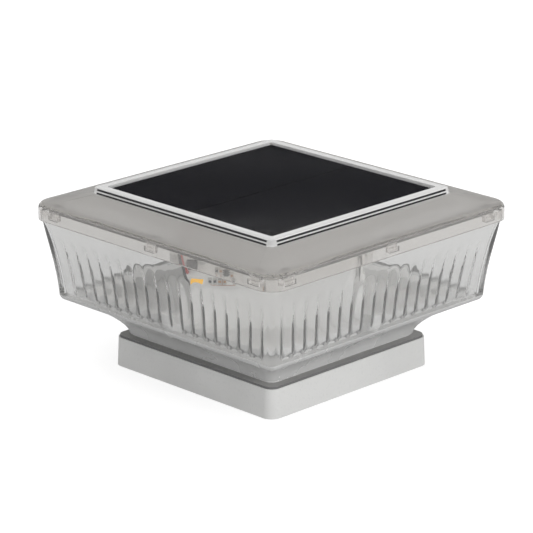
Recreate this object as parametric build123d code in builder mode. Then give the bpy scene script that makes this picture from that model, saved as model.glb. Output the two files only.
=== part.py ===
"""Solar pillar light: a reeded clear bowl with a solar top cover, standing on a square plinth.

Sizes are in mm. The origin is the middle of the plinth's underside, Z points up, and the sides of
the square lie along X and Y. The light box inside is turned 45 degrees, so that each of its four
boards shines into a corner of the bowl.
"""

import os
from math import atan, cos, degrees, radians, sqrt

from build123d import *

# Plinth
plinth_lean = 0.6
plinth_height = 13.2
plinth_corner = 5.0
plinth_wall = 2.2
plinth_deck = 2.6
plinth_rib = 1.8
plinth_rib_depth = 5.6
pillar_screw_inset = 8.7
pillar_screw_hole_radius = 2.25
pillar_screw_sink_radius = 4.4
pillar_boss_wall = 2.95

# Seal on the plinth and the spigot that the foot drops over
plinth_seal_inset = 0.4
plinth_seal_thickness = 1.0
foot_inset = 4.4
foot_corner = 4.0
foot_wall = 2.0
spigot_clearance = 0.3
spigot_wall = 2.0
spigot_height = 6.8
spigot_lead_in = 0.6
spigot_inner_corner = 1.0

# Bowl
neck_overhang = 10.5
neck_corner = 6.0
neck_wall = 2.4
neck_gap = 7.8
neck_height = 7.9
neck_round = 2.0
bowl_overhang = 11.7
bowl_bottom_round = 3.9
bowl_round_margin = 0.5
bowl_floor = 2.2
bowl_flare = 5.8
bowl_corner = 4.0
bowl_rim_corner = 6.0
bowl_wall = 2.2
bowl_wall_height = 34.0
bowl_rim_height = 4.7
bowl_rim_wall = 2.2
flare_bias = 0.56
flare_levels = 4

# Flutes inside the bowl
flutes_per_side = 18
flute_depth = 1.3
flute_top_depth = 0.15
flute_fade = 1.2
flute_corner_gap = 3.6
flute_stop = 0.9

# Floor tray
tray_seal_thickness = 0.8
tray_seal_width = 2.2
tray_seal_gap = 0.4
tray_land = 0.8
tray_corner = 4.0
tray_thickness = 2.0
well_clearance = 0.5
well_corner = 5.0
well_wall = 2.0
well_floor = 2.0
well_depth = 5.9

# Screws through the bowl's floor into the tray
tray_screw_gap = 0.5
tray_screw_clearance = 0.5
tray_boss_radius = 3.2
tray_ear_margin = 0.4
tray_boss_rise = 4.0
tray_screw_depth = 5.2

# Self-tapping screws
screw_shank_radius = 1.2
screw_pilot_clearance = 0.05
screw_head_radius = 2.8
screw_head_height = 1.9
screw_recess_width = 0.8
screw_recess_length = 3.2
screw_recess_depth = 0.9
screw_head_bevel = 0.7
screw_tip_gap = 0.6

# Top cover
skirt_gap = 0.4
skirt_wall = 1.6
skirt_corner_extra = 1.0
skirt_drop = 4.7
cover_edge_thickness = 1.6
cover_edge_round = 2.6
edge_probe = 0.01
cover_land_overlap = 1.5
cover_land_corner = 3.4
shoulder_run = 19.2
shoulder_rise = 4.3
rim_width = 4.0
rim_lean = 0.7
rim_height = 2.8
rim_corner = 2.6
rim_edge_round = 0.4
pocket_clearance = 0.3
pocket_floor_thickness = 1.5
pocket_under_inset = 1.6
cover_seal_thickness = 0.8
cover_seal_inset = 0.4

# Snap hooks under the cover's edge
hook_corner_gap = 8.8
hook_width = 5.2
hook_thickness = 1.6
hook_length = 4.0
hook_gap = 0.5
hook_root = 0.9
barb_depth = 0.9
barb_height = 1.2
window_clearance = 0.5

# Solar panel
panel_corner = 1.0
panel_recess = 0.4
sealant_thickness = 0.4
sealant_width = 3.0
sealant_inset = 0.5
back_sheet_thickness = 1.6
cell_thickness = 0.3
cell_seam = 0.9
cell_margin = 1.2
cell_pocket_gap = 0.1
laminate_top_layer = 0.7

# Light box
box_corner = 4.0
box_wall = 2.0
box_floor = 2.0
box_top_gap = 0.4
box_clearance = 1.345
box_screw_room = 1.7
box_screw_clearance = 0.5
box_screw_boss_radius = 3.2
box_screw_boss_drop = 6.0
box_screw_depth = 6.6

# Boards on the light box
board_width = 24.0
board_height = 15.0
board_thickness = 1.0
board_standoff = 1.5
board_rise = 14.1
board_screw_spread = 14.0
board_screw_drop = 2.4
board_screw_shift = 3.0
board_post_radius = 2.2
board_screw_shank_radius = 0.8
board_screw_pilot_clearance = 0.05
board_screw_hole_clearance = 0.3
board_screw_head_radius = 1.7
board_screw_head_height = 1.1
board_screw_bite = 2.0
board_screw_slot_length = 2.2
board_screw_slot_width = 0.5
board_screw_slot_depth = 0.5
wire_hole_radius = 2.2

# Parts on the boards, measured from the middle of the board
led_width = 5.7
led_height = 3.2
led_depth = 0.9
led_shift = -7.0
led_drop = 4.6
phosphor_border = 0.35
phosphor_depth = 0.4
chip_width = 1.9
chip_height = 2.9
chip_depth = 1.1
chip_shift = 6.0
chip_drop = 0.4
chip_lift = 0.1
chip_leg_length = 0.7
chip_leg_overlap = 0.1
chip_leg_width = 0.4
chip_leg_depth = 0.5
chip_part_length = 2.0
chip_part_width = 1.25
chip_part_depth = 0.6
capacitor_depth = 1.0
lower_row_drop = 4.6
lower_row_start = -1.7
lower_row_pitch = 2.1
end_resistor_shift = 9.0
end_resistor_drop = 4.5
upper_resistor_shift = 1.9
upper_capacitor_shift = 3.6
upper_part_rise = 0.4
end_capacitor_shift = 8.4
end_capacitor_drop = 1.6
connector_width = 4.6
connector_height = 3.6
connector_depth = 3.4
connector_shift = -8.6
connector_rise = 3.6
connector_wall = 0.5
connector_mouth = 2.4
connector_pin = 0.6
connector_pin_pitch = 1.8

# Cell, holder and contacts inside the light box
cell_radius = 7.1
cell_length = 49.0
cell_button_radius = 2.75
cell_button_length = 1.2
cell_bevel = 0.8
cell_gap = 0.2
cell_side_gap = 0.2
cell_end_room = 4.8
holder_rise = 2.4
holder_wall = 1.5
holder_floor = 1.6
holder_gap = 0.4
holder_screw_gap = 0.7
holder_screw_spacing = 30.0
holder_screw_bite = 1.6
contact_thickness = 0.5
contact_width = 9.0
contact_height = 12.0
contact_spring_radius = 3.2
contact_pip_radius = 2.0

# Switch in the middle of the tray
switch_bush_radius = 6.0
switch_hole_clearance = 0.2
switch_shoulder = 2.0
switch_body_height = 12.0
switch_bush_drop = 4.4
switch_lip = 2.0
switch_bore_clearance = 0.15
nut_across_flats = 16.0
nut_height = 2.4
nut_clearance = 0.05
button_radius = 4.0
button_proud = 2.8
button_round = 0.8
button_flange_width = 0.7
button_flange_height = 1.5
button_flange_gap = 0.3
button_travel = 1.5

# Leads
lead_radius = 0.65
lead_bend = 3.9
lead_hole_radius = 3.3
lead_hole_x = 8.0
lead_hole_gap = 2.89
lead_spacing = 2.2
lead_loop_lift = 0.6
lead_slant = 4.0
lead_pad_gap = 1.35
black_drop_reach = 7.5
black_pad_rise = 2.4
red_drop_reach = 4.4
red_pad_rise = 7.2

# Sides of the squares, from the cell outward
switch_body_radius = switch_bush_radius + switch_shoulder
holder_width = 2 * (cell_radius + cell_side_gap + holder_wall)
holder_length = cell_length + cell_button_length + cell_end_room + 2 * holder_wall
holder_shift = switch_body_radius + holder_gap + holder_width / 2
box_screw_spacing = 2 * (holder_shift + holder_width / 2 + holder_screw_gap + screw_head_radius)
box_side = box_screw_spacing + 2 * (screw_head_radius + box_screw_room + box_wall)
box_reach = (box_side / 2 - box_corner) * sqrt(2) + box_corner
well_side = 2 * (box_reach + box_clearance)
well_outer_side = well_side + 2 * well_wall
neck_hole = well_outer_side + 2 * well_clearance
neck_side = neck_hole + 2 * neck_wall
foot_side = neck_side - 2 * neck_overhang
foot_hole = foot_side - 2 * foot_wall
spigot_side = foot_hole - 2 * spigot_clearance
spigot_inner = spigot_side - 2 * spigot_wall
pillar_screw_spacing = spigot_inner - 2 * pillar_screw_inset
plinth_top_side = foot_side + 2 * foot_inset
plinth_bottom_side = plinth_top_side + 2 * plinth_lean
bowl_bottom_side = neck_side + 2 * bowl_overhang
bowl_top_side = bowl_bottom_side + 2 * bowl_flare
rim_inner_side = bowl_top_side - 2 * bowl_rim_wall
tray_seal_inner = neck_hole + 2 * tray_seal_gap
tray_seal_outer = tray_seal_inner + 2 * tray_seal_width
tray_side = tray_seal_outer + 2 * tray_land
tray_screw_reach = tray_seal_outer / 2 + tray_screw_gap + tray_boss_radius
skirt_inner_side = bowl_top_side + 2 * skirt_gap
skirt_inner_corner = bowl_rim_corner + skirt_gap
cover_side = skirt_inner_side + 2 * skirt_wall
cover_corner = skirt_inner_corner + skirt_wall + skirt_corner_extra
cover_land_side = rim_inner_side - 2 * cover_land_overlap
rim_foot_side = cover_side - 2 * shoulder_run
rim_top_side = rim_foot_side - 2 * rim_lean
pocket_side = rim_top_side - 2 * rim_width
panel_side = pocket_side - 2 * pocket_clearance
pocket_under_side = rim_top_side - 2 * pocket_under_inset
hook_offset = rim_inner_side / 2 - hook_corner_gap
hook_face = rim_inner_side / 2 - hook_gap

# Heights, from the plinth up
seal_top = plinth_height + plinth_seal_thickness
neck_bottom = seal_top + neck_gap
bowl_bottom = neck_bottom + neck_height
bowl_floor_top = bowl_bottom + bowl_floor
bowl_wall_start = bowl_bottom + bowl_bottom_round + bowl_round_margin
bowl_rim_start = bowl_wall_start + bowl_wall_height
bowl_rim_top = bowl_rim_start + bowl_rim_height
flute_top = bowl_rim_start - flute_stop
tray_bottom = bowl_floor_top + tray_seal_thickness
tray_top = tray_bottom + tray_thickness
well_floor_bottom = tray_bottom - well_depth
well_floor_top = well_floor_bottom + well_floor
box_floor_top = well_floor_top + box_floor
skirt_bottom = bowl_rim_top - skirt_drop
land_height = bowl_rim_top + cover_seal_thickness
cover_edge_height = land_height + cover_edge_thickness
rim_foot_height = cover_edge_height + shoulder_rise
rim_top = rim_foot_height + rim_height
laminate_top = rim_top - panel_recess
back_sheet_top = laminate_top - laminate_top_layer - cell_thickness
back_sheet_bottom = back_sheet_top - back_sheet_thickness
pocket_floor = back_sheet_bottom - sealant_thickness
pocket_underside = pocket_floor - pocket_floor_thickness
hook_bottom = bowl_rim_top - hook_length
box_top = pocket_underside - box_top_gap
board_bottom = tray_top + board_rise
board_middle_height = board_bottom + board_height / 2
switch_bush_bottom = well_floor_bottom - switch_bush_drop
button_bottom = switch_bush_bottom - button_proud
lead_loop_height = land_height + lead_loop_lift

# Distances from the middle of the light box, and sizes that hold one another
board_offset = (box_side - board_width) / 2
board_back = box_side / 2 + board_standoff
board_front = board_back + board_thickness
pillar_boss_radius = pillar_screw_hole_radius + pillar_boss_wall
tray_screw_hole_radius = screw_shank_radius + tray_screw_clearance
box_screw_hole_radius = screw_shank_radius + box_screw_clearance
screw_pilot_radius = screw_shank_radius + screw_pilot_clearance
board_screw_pilot_radius = board_screw_shank_radius + board_screw_pilot_clearance
board_screw_hole_radius = board_screw_shank_radius + board_screw_hole_clearance
board_screw_length = board_thickness + board_screw_bite
phosphor_width = led_width - 2 * phosphor_border
phosphor_height = led_height - 2 * phosphor_border
switch_hole_radius = switch_bush_radius + switch_hole_clearance
button_flange_radius = button_radius + button_flange_width
switch_chamber_radius = button_flange_radius + button_flange_gap
cell_z = holder_floor + board_screw_head_height + cell_gap + cell_radius
holder_height = cell_z + holder_rise
plinth_draft = degrees(atan(plinth_lean / plinth_height))
rim_draft = degrees(atan(rim_lean / rim_height))
lead_hole_y = lead_hole_x - (box_side / 2 + lead_hole_gap) * sqrt(2)
box_turn = 45.0

# Shapes that grow up or down from where they are placed
upward = (Align.CENTER, Align.CENTER, Align.MIN)
downward = (Align.CENTER, Align.CENTER, Align.MAX)

os.makedirs("parts", exist_ok=True)


# Plinth: a hollow square foot with ribs, four screw bosses and the spigot
with BuildPart() as plinth:
    with BuildSketch():
        RectangleRounded(plinth_bottom_side, plinth_bottom_side, plinth_corner)
    extrude(amount=plinth_height, taper=plinth_draft)
    hollow_side = plinth_bottom_side - 2 * plinth_wall
    with BuildSketch():
        RectangleRounded(hollow_side, hollow_side, plinth_corner - plinth_wall)
    extrude(amount=plinth_height - plinth_deck, taper=plinth_draft, mode=Mode.SUBTRACT)
    with Locations((0, 0, plinth_height - plinth_deck)):
        for rib_x, rib_y in ((hollow_side, plinth_rib), (plinth_rib, hollow_side)):
            Box(rib_x, rib_y, plinth_rib_depth, align=downward)
    with GridLocations(pillar_screw_spacing, pillar_screw_spacing, 2, 2):
        Cylinder(pillar_boss_radius, plinth_height - plinth_deck, align=upward)
    with BuildSketch(Plane.XY.offset(plinth_height)):
        RectangleRounded(spigot_side, spigot_side, foot_corner - foot_wall)
        RectangleRounded(spigot_inner, spigot_inner, spigot_inner_corner, mode=Mode.SUBTRACT)
    extrude(amount=spigot_height)
    spigot_edge = plinth.edges().group_by(Axis.Z)[-1]
    chamfer(spigot_edge.sort_by(SortBy.DISTANCE)[-4:], length=spigot_lead_in)
    with Locations(Plane.XY.offset(plinth_height)):
        with GridLocations(pillar_screw_spacing, pillar_screw_spacing, 2, 2):
            CounterSinkHole(pillar_screw_hole_radius, pillar_screw_sink_radius)
plinth.part.label = "plinth"


# Flat seal on the plinth, around the spigot
with BuildPart() as plinth_seal:
    with BuildSketch(Plane.XY.offset(plinth_height)):
        seal_side = plinth_top_side - 2 * plinth_seal_inset
        RectangleRounded(seal_side, seal_side, plinth_corner - plinth_seal_inset)
        seal_hole = spigot_side + 2 * spigot_clearance
        RectangleRounded(seal_hole, seal_hole, foot_corner - foot_wall, mode=Mode.SUBTRACT)
    extrude(amount=plinth_seal_thickness)
plinth_seal.part.label = "plinth_seal"


# Space inside the bowl: a loft through reeded outlines that widen with the flare, and flutes that run out upward
with BuildPart() as bowl_space:
    for level in range(flare_levels + 1):
        rise = level / flare_levels
        flare = (1 - flare_bias) * rise + flare_bias * rise**2
        level_side = bowl_bottom_side + (bowl_top_side - bowl_bottom_side) * flare
        level_height = bowl_wall_start + (flute_top - bowl_wall_start) * rise
        if level == 0:
            level_height = bowl_floor_top
        face_y = level_side / 2 - bowl_wall
        run = face_y - flute_corner_gap
        pitch = 2 * run / flutes_per_side
        corner_mid = run + flute_corner_gap * cos(radians(45))
        crest_y = -face_y + flute_top_depth + (flute_depth - flute_top_depth) * (1 - rise) ** flute_fade
        with BuildSketch(Plane.XY.offset(level_height)):
            with BuildLine():
                for turn in (0, 90, 180, 270):
                    for flute in range(flutes_per_side):
                        flute_start = -run + flute * pitch
                        ThreePointArc(
                            Vector(flute_start, -face_y).rotate(Axis.Z, turn),
                            Vector(flute_start + pitch / 2, crest_y).rotate(Axis.Z, turn),
                            Vector(flute_start + pitch, -face_y).rotate(Axis.Z, turn),
                        )
                    ThreePointArc(
                        Vector(run, -face_y).rotate(Axis.Z, turn),
                        Vector(corner_mid, -corner_mid).rotate(Axis.Z, turn),
                        Vector(face_y, -run).rotate(Axis.Z, turn),
                    )
            make_face()
    loft()


# Bowl: flared walls, rounded bottom edge, floor with a neck, and an upright rim for the cover
with BuildPart() as bowl:
    for level in range(flare_levels + 1):
        rise = level / flare_levels
        flare = (1 - flare_bias) * rise + flare_bias * rise**2
        level_side = bowl_bottom_side + (bowl_top_side - bowl_bottom_side) * flare
        level_height = bowl_wall_start + (bowl_rim_start - bowl_wall_start) * rise
        with BuildSketch(Plane.XY.offset(level_height)):
            RectangleRounded(level_side, level_side, bowl_corner + (bowl_rim_corner - bowl_corner) * flare)
    loft()
    with BuildSketch(Plane.XY.offset(bowl_bottom)):
        RectangleRounded(bowl_bottom_side, bowl_bottom_side, bowl_corner)
    extrude(amount=bowl_wall_start - bowl_bottom)
    fillet(bowl.edges().group_by(Axis.Z)[0], radius=bowl_bottom_round)
    with BuildSketch(Plane.XY.offset(bowl_rim_start)):
        RectangleRounded(bowl_top_side, bowl_top_side, bowl_rim_corner)
    extrude(amount=bowl_rim_top - bowl_rim_start)
    with BuildSketch(Plane.XY.offset(neck_bottom)):
        RectangleRounded(neck_side, neck_side, neck_corner)
    extrude(amount=bowl_bottom - neck_bottom)
    fillet(bowl.edges().group_by(Axis.Z)[0], radius=neck_round)
    add(bowl_space.part, mode=Mode.SUBTRACT)
    with BuildSketch(Plane.XY.offset(flute_top)):
        RectangleRounded(rim_inner_side, rim_inner_side, bowl_rim_corner - bowl_rim_wall)
    extrude(amount=bowl_rim_top - flute_top, mode=Mode.SUBTRACT)
    with BuildSketch(Plane.XY.offset(neck_bottom)):
        RectangleRounded(neck_hole, neck_hole, neck_corner - neck_wall)
    extrude(amount=bowl_floor_top - neck_bottom, mode=Mode.SUBTRACT)
    with Locations(Plane.XY.offset(bowl_bottom)):
        with PolarLocations(tray_screw_reach, 4):
            Cylinder(tray_screw_hole_radius, 3 * bowl_floor, mode=Mode.SUBTRACT)
    window_height = barb_height + 2 * window_clearance
    window_depth = hook_gap + barb_depth
    for turn in (0, 90, 180, 270):
        with Locations(Plane.XY.rotated((0, 0, turn))):
            with Locations(*[(place, -hook_face, hook_bottom) for place in (-hook_offset, 0, hook_offset)]):
                Box(
                    hook_width + 2 * window_clearance,
                    window_depth,
                    window_height,
                    align=(Align.CENTER, Align.MAX, Align.MIN),
                    mode=Mode.SUBTRACT,
                )
bowl.part.label = "bowl"


# Floor tray: flange with four ears inside the bowl, well for the light box, and the foot on the seal
ear_radius = tray_boss_radius + tray_ear_margin
with BuildPart() as tray:
    with BuildSketch(Plane.XY.offset(tray_bottom)):
        RectangleRounded(tray_side, tray_side, tray_corner)
        with PolarLocations(tray_screw_reach, 4):
            Circle(ear_radius)
            Rectangle(ear_radius, 2 * ear_radius, align=(Align.MAX, Align.CENTER))
    extrude(amount=tray_thickness)
    with BuildSketch(Plane.XY.offset(well_floor_bottom)):
        RectangleRounded(well_outer_side, well_outer_side, well_corner)
    extrude(amount=tray_top - well_floor_bottom)
    with BuildSketch(Plane.XY.offset(well_floor_top)):
        RectangleRounded(well_side, well_side, well_corner - well_wall)
    extrude(amount=tray_top - well_floor_top, mode=Mode.SUBTRACT)
    with BuildSketch(Plane.XY.offset(seal_top)):
        RectangleRounded(foot_side, foot_side, foot_corner)
        RectangleRounded(foot_hole, foot_hole, foot_corner - foot_wall, mode=Mode.SUBTRACT)
    extrude(amount=well_floor_bottom - seal_top)
    with Locations(Plane.XY.offset(bowl_floor_top)):
        with PolarLocations(tray_screw_reach, 4):
            boss_height = tray_top + tray_boss_rise - bowl_floor_top
            Cylinder(tray_boss_radius, boss_height, align=upward)
            Cylinder(
                screw_pilot_radius,
                tray_screw_depth,
                align=upward,
                mode=Mode.SUBTRACT,
            )
    with Locations(Plane.XY.offset(well_floor_bottom).rotated((0, 0, box_turn))):
        with GridLocations(box_screw_spacing, box_screw_spacing, 2, 2):
            Cylinder(box_screw_boss_radius, box_screw_boss_drop, align=downward)
    with Locations(Plane.XY.offset(well_floor_top).rotated((0, 0, box_turn))):
        with GridLocations(box_screw_spacing, box_screw_spacing, 2, 2):
            Cylinder(
                screw_pilot_radius,
                box_screw_depth,
                align=downward,
                mode=Mode.SUBTRACT,
            )
    with Locations((0, 0, well_floor_bottom)):
        Cylinder(switch_hole_radius, 3 * well_floor, mode=Mode.SUBTRACT)
tray.part.label = "tray"


# Seal between the bowl's floor and the tray
with BuildPart() as tray_seal:
    with BuildSketch(Plane.XY.offset(bowl_floor_top)):
        seal_corner = neck_corner - neck_wall
        RectangleRounded(tray_seal_outer, tray_seal_outer, seal_corner + tray_seal_width)
        RectangleRounded(tray_seal_inner, tray_seal_inner, seal_corner, mode=Mode.SUBTRACT)
    extrude(amount=tray_seal_thickness)
tray_seal.part.label = "tray_seal"


# Screws from below, through the bowl's floor into the tray
with BuildPart() as tray_screws:
    with Locations(Plane.XY.offset(bowl_bottom)):
        with PolarLocations(tray_screw_reach, 4):
            Cylinder(screw_head_radius, screw_head_height, align=downward)
            shank = bowl_floor + tray_screw_depth - screw_tip_gap
            Cylinder(screw_shank_radius, shank, align=upward)
    chamfer(tray_screws.edges().group_by(Axis.Z)[0], length=screw_head_bevel)
    with Locations(Plane.XY.offset(bowl_bottom - screw_head_height)):
        with PolarLocations(tray_screw_reach, 4):
            for slot_x, slot_y in (
                (screw_recess_length, screw_recess_width),
                (screw_recess_width, screw_recess_length),
            ):
                Box(slot_x, slot_y, 2 * screw_recess_depth, mode=Mode.SUBTRACT)
tray_screws.part.label = "tray_screws"


# Top cover: skirt, sloping shoulder, panel rim with its pocket, and snap hooks
with BuildPart() as cover:
    with BuildSketch(Plane.XY.offset(skirt_bottom)):
        RectangleRounded(cover_side, cover_side, cover_corner)
    extrude(amount=cover_edge_height - skirt_bottom)
    with BuildSketch(Plane.XY.offset(cover_edge_height)):
        RectangleRounded(cover_side, cover_side, cover_corner)
    with BuildSketch(Plane.XY.offset(rim_foot_height)):
        RectangleRounded(rim_foot_side, rim_foot_side, rim_corner)
    loft(ruled=True)
    shoulder = cover.edges().filter_by(lambda edge: abs(edge.center().Z - cover_edge_height) < edge_probe)
    fillet(shoulder, radius=cover_edge_round)
    with BuildSketch(Plane.XY.offset(rim_foot_height)):
        RectangleRounded(rim_foot_side, rim_foot_side, rim_corner)
    extrude(amount=rim_top - rim_foot_height, taper=rim_draft)
    fillet(cover.edges().group_by(Axis.Z)[-1], radius=rim_edge_round)
    with BuildSketch(Plane.XY.offset(pocket_floor)):
        RectangleRounded(pocket_side, pocket_side, panel_corner + pocket_clearance)
    extrude(amount=rim_top - pocket_floor, mode=Mode.SUBTRACT)
    with BuildSketch(Plane.XY.offset(skirt_bottom)):
        RectangleRounded(skirt_inner_side, skirt_inner_side, skirt_inner_corner)
    extrude(amount=land_height - skirt_bottom, mode=Mode.SUBTRACT)
    with BuildSketch(Plane.XY.offset(land_height)):
        RectangleRounded(cover_land_side, cover_land_side, cover_land_corner)
    with BuildSketch(Plane.XY.offset(pocket_underside)):
        RectangleRounded(pocket_under_side, pocket_under_side, cover_land_corner)
    loft(ruled=True, mode=Mode.SUBTRACT)
    for turn in (0, 90, 180, 270):
        with Locations(Plane.XY.rotated((0, 0, turn))):
            with Locations(*[(place, -hook_face, hook_bottom) for place in (-hook_offset, 0, hook_offset)]):
                hook_height = land_height + hook_root - hook_bottom
                Box(hook_width, hook_thickness, hook_height, align=(Align.CENTER, Align.MIN, Align.MIN))
            barb_bottom = hook_bottom + window_clearance
            with Locations(*[(place, -hook_face, barb_bottom) for place in (-hook_offset, 0, hook_offset)]):
                Box(hook_width, barb_depth, barb_height, align=(Align.CENTER, Align.MAX, Align.MIN))
    with Locations((lead_hole_x, lead_hole_y, pocket_floor)):
        Cylinder(lead_hole_radius, 4 * pocket_floor_thickness, mode=Mode.SUBTRACT)
cover.part.label = "cover"


# Seal between the bowl's rim and the cover
with BuildPart() as cover_seal:
    with BuildSketch(Plane.XY.offset(bowl_rim_top)):
        outer_seal = bowl_top_side - 2 * cover_seal_inset
        inner_seal = rim_inner_side + 2 * cover_seal_inset
        RectangleRounded(outer_seal, outer_seal, bowl_rim_corner - cover_seal_inset)
        inner_corner = bowl_rim_corner - bowl_rim_wall + cover_seal_inset
        RectangleRounded(inner_seal, inner_seal, inner_corner, mode=Mode.SUBTRACT)
    extrude(amount=cover_seal_thickness)
cover_seal.part.label = "cover_seal"


# Solar panel: sealant bead, black back sheet, two half cells and the clear laminate
with BuildPart() as panel_sealant:
    with BuildSketch(Plane.XY.offset(pocket_floor)):
        bead_side = panel_side - 2 * sealant_inset
        RectangleRounded(bead_side, bead_side, panel_corner)
        bead_hole = bead_side - 2 * sealant_width
        RectangleRounded(bead_hole, bead_hole, panel_corner, mode=Mode.SUBTRACT)
    extrude(amount=sealant_thickness)
    with Locations((lead_hole_x, lead_hole_y, pocket_floor)):
        Cylinder(lead_hole_radius + lead_spacing / 2, 4 * sealant_thickness, mode=Mode.SUBTRACT)
panel_sealant.part.label = "panel_sealant"

with BuildPart() as back_sheet:
    with BuildSketch(Plane.XY.offset(back_sheet_bottom)):
        RectangleRounded(panel_side, panel_side, panel_corner)
    extrude(amount=back_sheet_thickness)
back_sheet.part.label = "back_sheet"

cell_field = panel_side - 2 * cell_margin
half_cell = (cell_field - cell_seam) / 2
with BuildPart() as solar_cells:
    with Locations((0, 0, back_sheet_top)):
        with GridLocations(half_cell + cell_seam, 1, 2, 1):
            Box(half_cell, cell_field, cell_thickness, align=upward)
solar_cells.part.label = "solar_cells"

with BuildPart() as laminate:
    with BuildSketch(Plane.XY.offset(back_sheet_top)):
        RectangleRounded(panel_side, panel_side, panel_corner)
    extrude(amount=laminate_top - back_sheet_top)
    with Locations((0, 0, back_sheet_top)):
        pocket_size = cell_field + 2 * cell_pocket_gap
        Box(
            pocket_size,
            pocket_size,
            cell_thickness,
            align=upward,
            mode=Mode.SUBTRACT,
        )
laminate.part.label = "laminate"


# Light box: turned 45 degrees, open at the top, with posts for a board on each face
post_height = board_middle_height + board_height / 2 - board_screw_drop
with BuildPart() as light_box:
    with BuildSketch(Plane.XY.offset(well_floor_top).rotated((0, 0, box_turn))):
        RectangleRounded(box_side, box_side, box_corner)
    extrude(amount=box_top - well_floor_top)
    with BuildSketch(Plane.XY.offset(box_floor_top).rotated((0, 0, box_turn))):
        RectangleRounded(box_side - 2 * box_wall, box_side - 2 * box_wall, box_corner - box_wall)
    extrude(amount=box_top - box_floor_top, mode=Mode.SUBTRACT)
    for turn in (0, 90, 180, 270):
        face_plane = Plane.XZ.rotated((0, 0, box_turn + turn)).offset(box_side / 2)
        with Locations(face_plane):
            for side in (-0.5, 0.5):
                with Locations((-board_offset + board_screw_shift + side * board_screw_spread, post_height)):
                    Cylinder(board_post_radius, board_standoff, align=upward)
                    Cylinder(
                        board_screw_pilot_radius,
                        board_standoff + box_wall,
                        mode=Mode.SUBTRACT,
                    )
            with Locations((-board_offset + board_screw_shift, post_height)):
                Cylinder(wire_hole_radius, 3 * box_wall, mode=Mode.SUBTRACT)
    with Locations(Plane.XY.offset(box_floor_top).rotated((0, 0, box_turn))):
        with GridLocations(box_screw_spacing, box_screw_spacing, 2, 2):
            Cylinder(box_screw_hole_radius, 3 * box_floor, mode=Mode.SUBTRACT)
        Cylinder(switch_hole_radius, 3 * box_floor, mode=Mode.SUBTRACT)
        with Locations((0, holder_shift)):
            with GridLocations(holder_screw_spacing, 1, 2, 1):
                Cylinder(board_screw_pilot_radius, 3 * box_floor, mode=Mode.SUBTRACT)
light_box.part.label = "light_box"


# Screws from the light box's floor into the tray
with BuildPart() as box_screws:
    with Locations(Plane.XY.offset(box_floor_top).rotated((0, 0, box_turn))):
        with GridLocations(box_screw_spacing, box_screw_spacing, 2, 2):
            Cylinder(screw_head_radius, screw_head_height, align=upward)
            shank = box_floor + box_screw_depth - screw_tip_gap
            Cylinder(screw_shank_radius, shank, align=downward)
    chamfer(box_screws.edges().group_by(Axis.Z)[-1], length=screw_head_bevel)
    with Locations(Plane.XY.offset(box_floor_top + screw_head_height).rotated((0, 0, box_turn))):
        with GridLocations(box_screw_spacing, box_screw_spacing, 2, 2):
            for slot_x, slot_y in (
                (screw_recess_length, screw_recess_width),
                (screw_recess_width, screw_recess_length),
            ):
                Box(slot_x, slot_y, 2 * screw_recess_depth, mode=Mode.SUBTRACT)
box_screws.part.label = "box_screws"


# Boards: the main board faces the front corner, and three plain LED boards face the others
main_plane = Plane.XZ.rotated((0, 0, box_turn)).offset(board_back)
main_front = Plane.XZ.rotated((0, 0, box_turn)).offset(board_front)
with BuildPart() as main_board:
    with BuildSketch(main_plane):
        with Locations((-board_offset, board_middle_height)):
            Rectangle(board_width, board_height)
        for side in (-0.5, 0.5):
            with Locations((-board_offset + board_screw_shift + side * board_screw_spread, post_height)):
                Circle(board_screw_hole_radius, mode=Mode.SUBTRACT)
    extrude(amount=board_thickness)
main_board.part.label = "main_board"

with BuildPart() as led_boards:
    for turn in (90, 180, 270):
        with BuildSketch(Plane.XZ.rotated((0, 0, box_turn + turn)).offset(board_back)):
            with Locations((-board_offset, board_middle_height)):
                Rectangle(board_width, board_height)
            for side in (-0.5, 0.5):
                with Locations((-board_offset + board_screw_shift + side * board_screw_spread, post_height)):
                    Circle(board_screw_hole_radius, mode=Mode.SUBTRACT)
        extrude(amount=board_thickness)
led_boards.part.label = "led_boards"

with BuildPart() as board_screws:
    for turn in (0, 90, 180, 270):
        with Locations(Plane.XZ.rotated((0, 0, box_turn + turn)).offset(board_front)):
            for side in (-0.5, 0.5):
                with Locations((-board_offset + board_screw_shift + side * board_screw_spread, post_height)):
                    Cylinder(
                        board_screw_head_radius,
                        board_screw_head_height,
                        align=upward,
                    )
                    Cylinder(
                        board_screw_shank_radius,
                        board_screw_length,
                        align=downward,
                    )
                    with Locations((0, 0, board_screw_head_height)):
                        for slot_x, slot_y in (
                            (board_screw_slot_length, board_screw_slot_width),
                            (board_screw_slot_width, board_screw_slot_length),
                        ):
                            Box(slot_x, slot_y, 2 * board_screw_slot_depth, mode=Mode.SUBTRACT)
board_screws.part.label = "board_screws"


# LEDs: one on each board, a white package with a yellow phosphor face
led_x = -board_offset + led_shift
led_z = board_middle_height - led_drop
with BuildPart() as led_packages:
    for turn in (0, 90, 180, 270):
        front = Plane.XZ.rotated((0, 0, box_turn + turn)).offset(board_front)
        with Locations(front):
            with Locations((led_x, led_z)):
                Box(led_width, led_height, led_depth, align=upward)
                with Locations((0, 0, led_depth)):
                    Box(
                        phosphor_width,
                        phosphor_height,
                        phosphor_depth,
                        align=downward,
                        mode=Mode.SUBTRACT,
                    )
led_packages.part.label = "led_packages"

with BuildPart() as led_phosphors:
    for turn in (0, 90, 180, 270):
        front = Plane.XZ.rotated((0, 0, box_turn + turn)).offset(board_front)
        with Locations(front):
            with Locations((led_x, led_z, led_depth)):
                Box(
                    phosphor_width,
                    phosphor_height,
                    phosphor_depth,
                    align=downward,
                )
led_phosphors.part.label = "led_phosphors"


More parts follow.
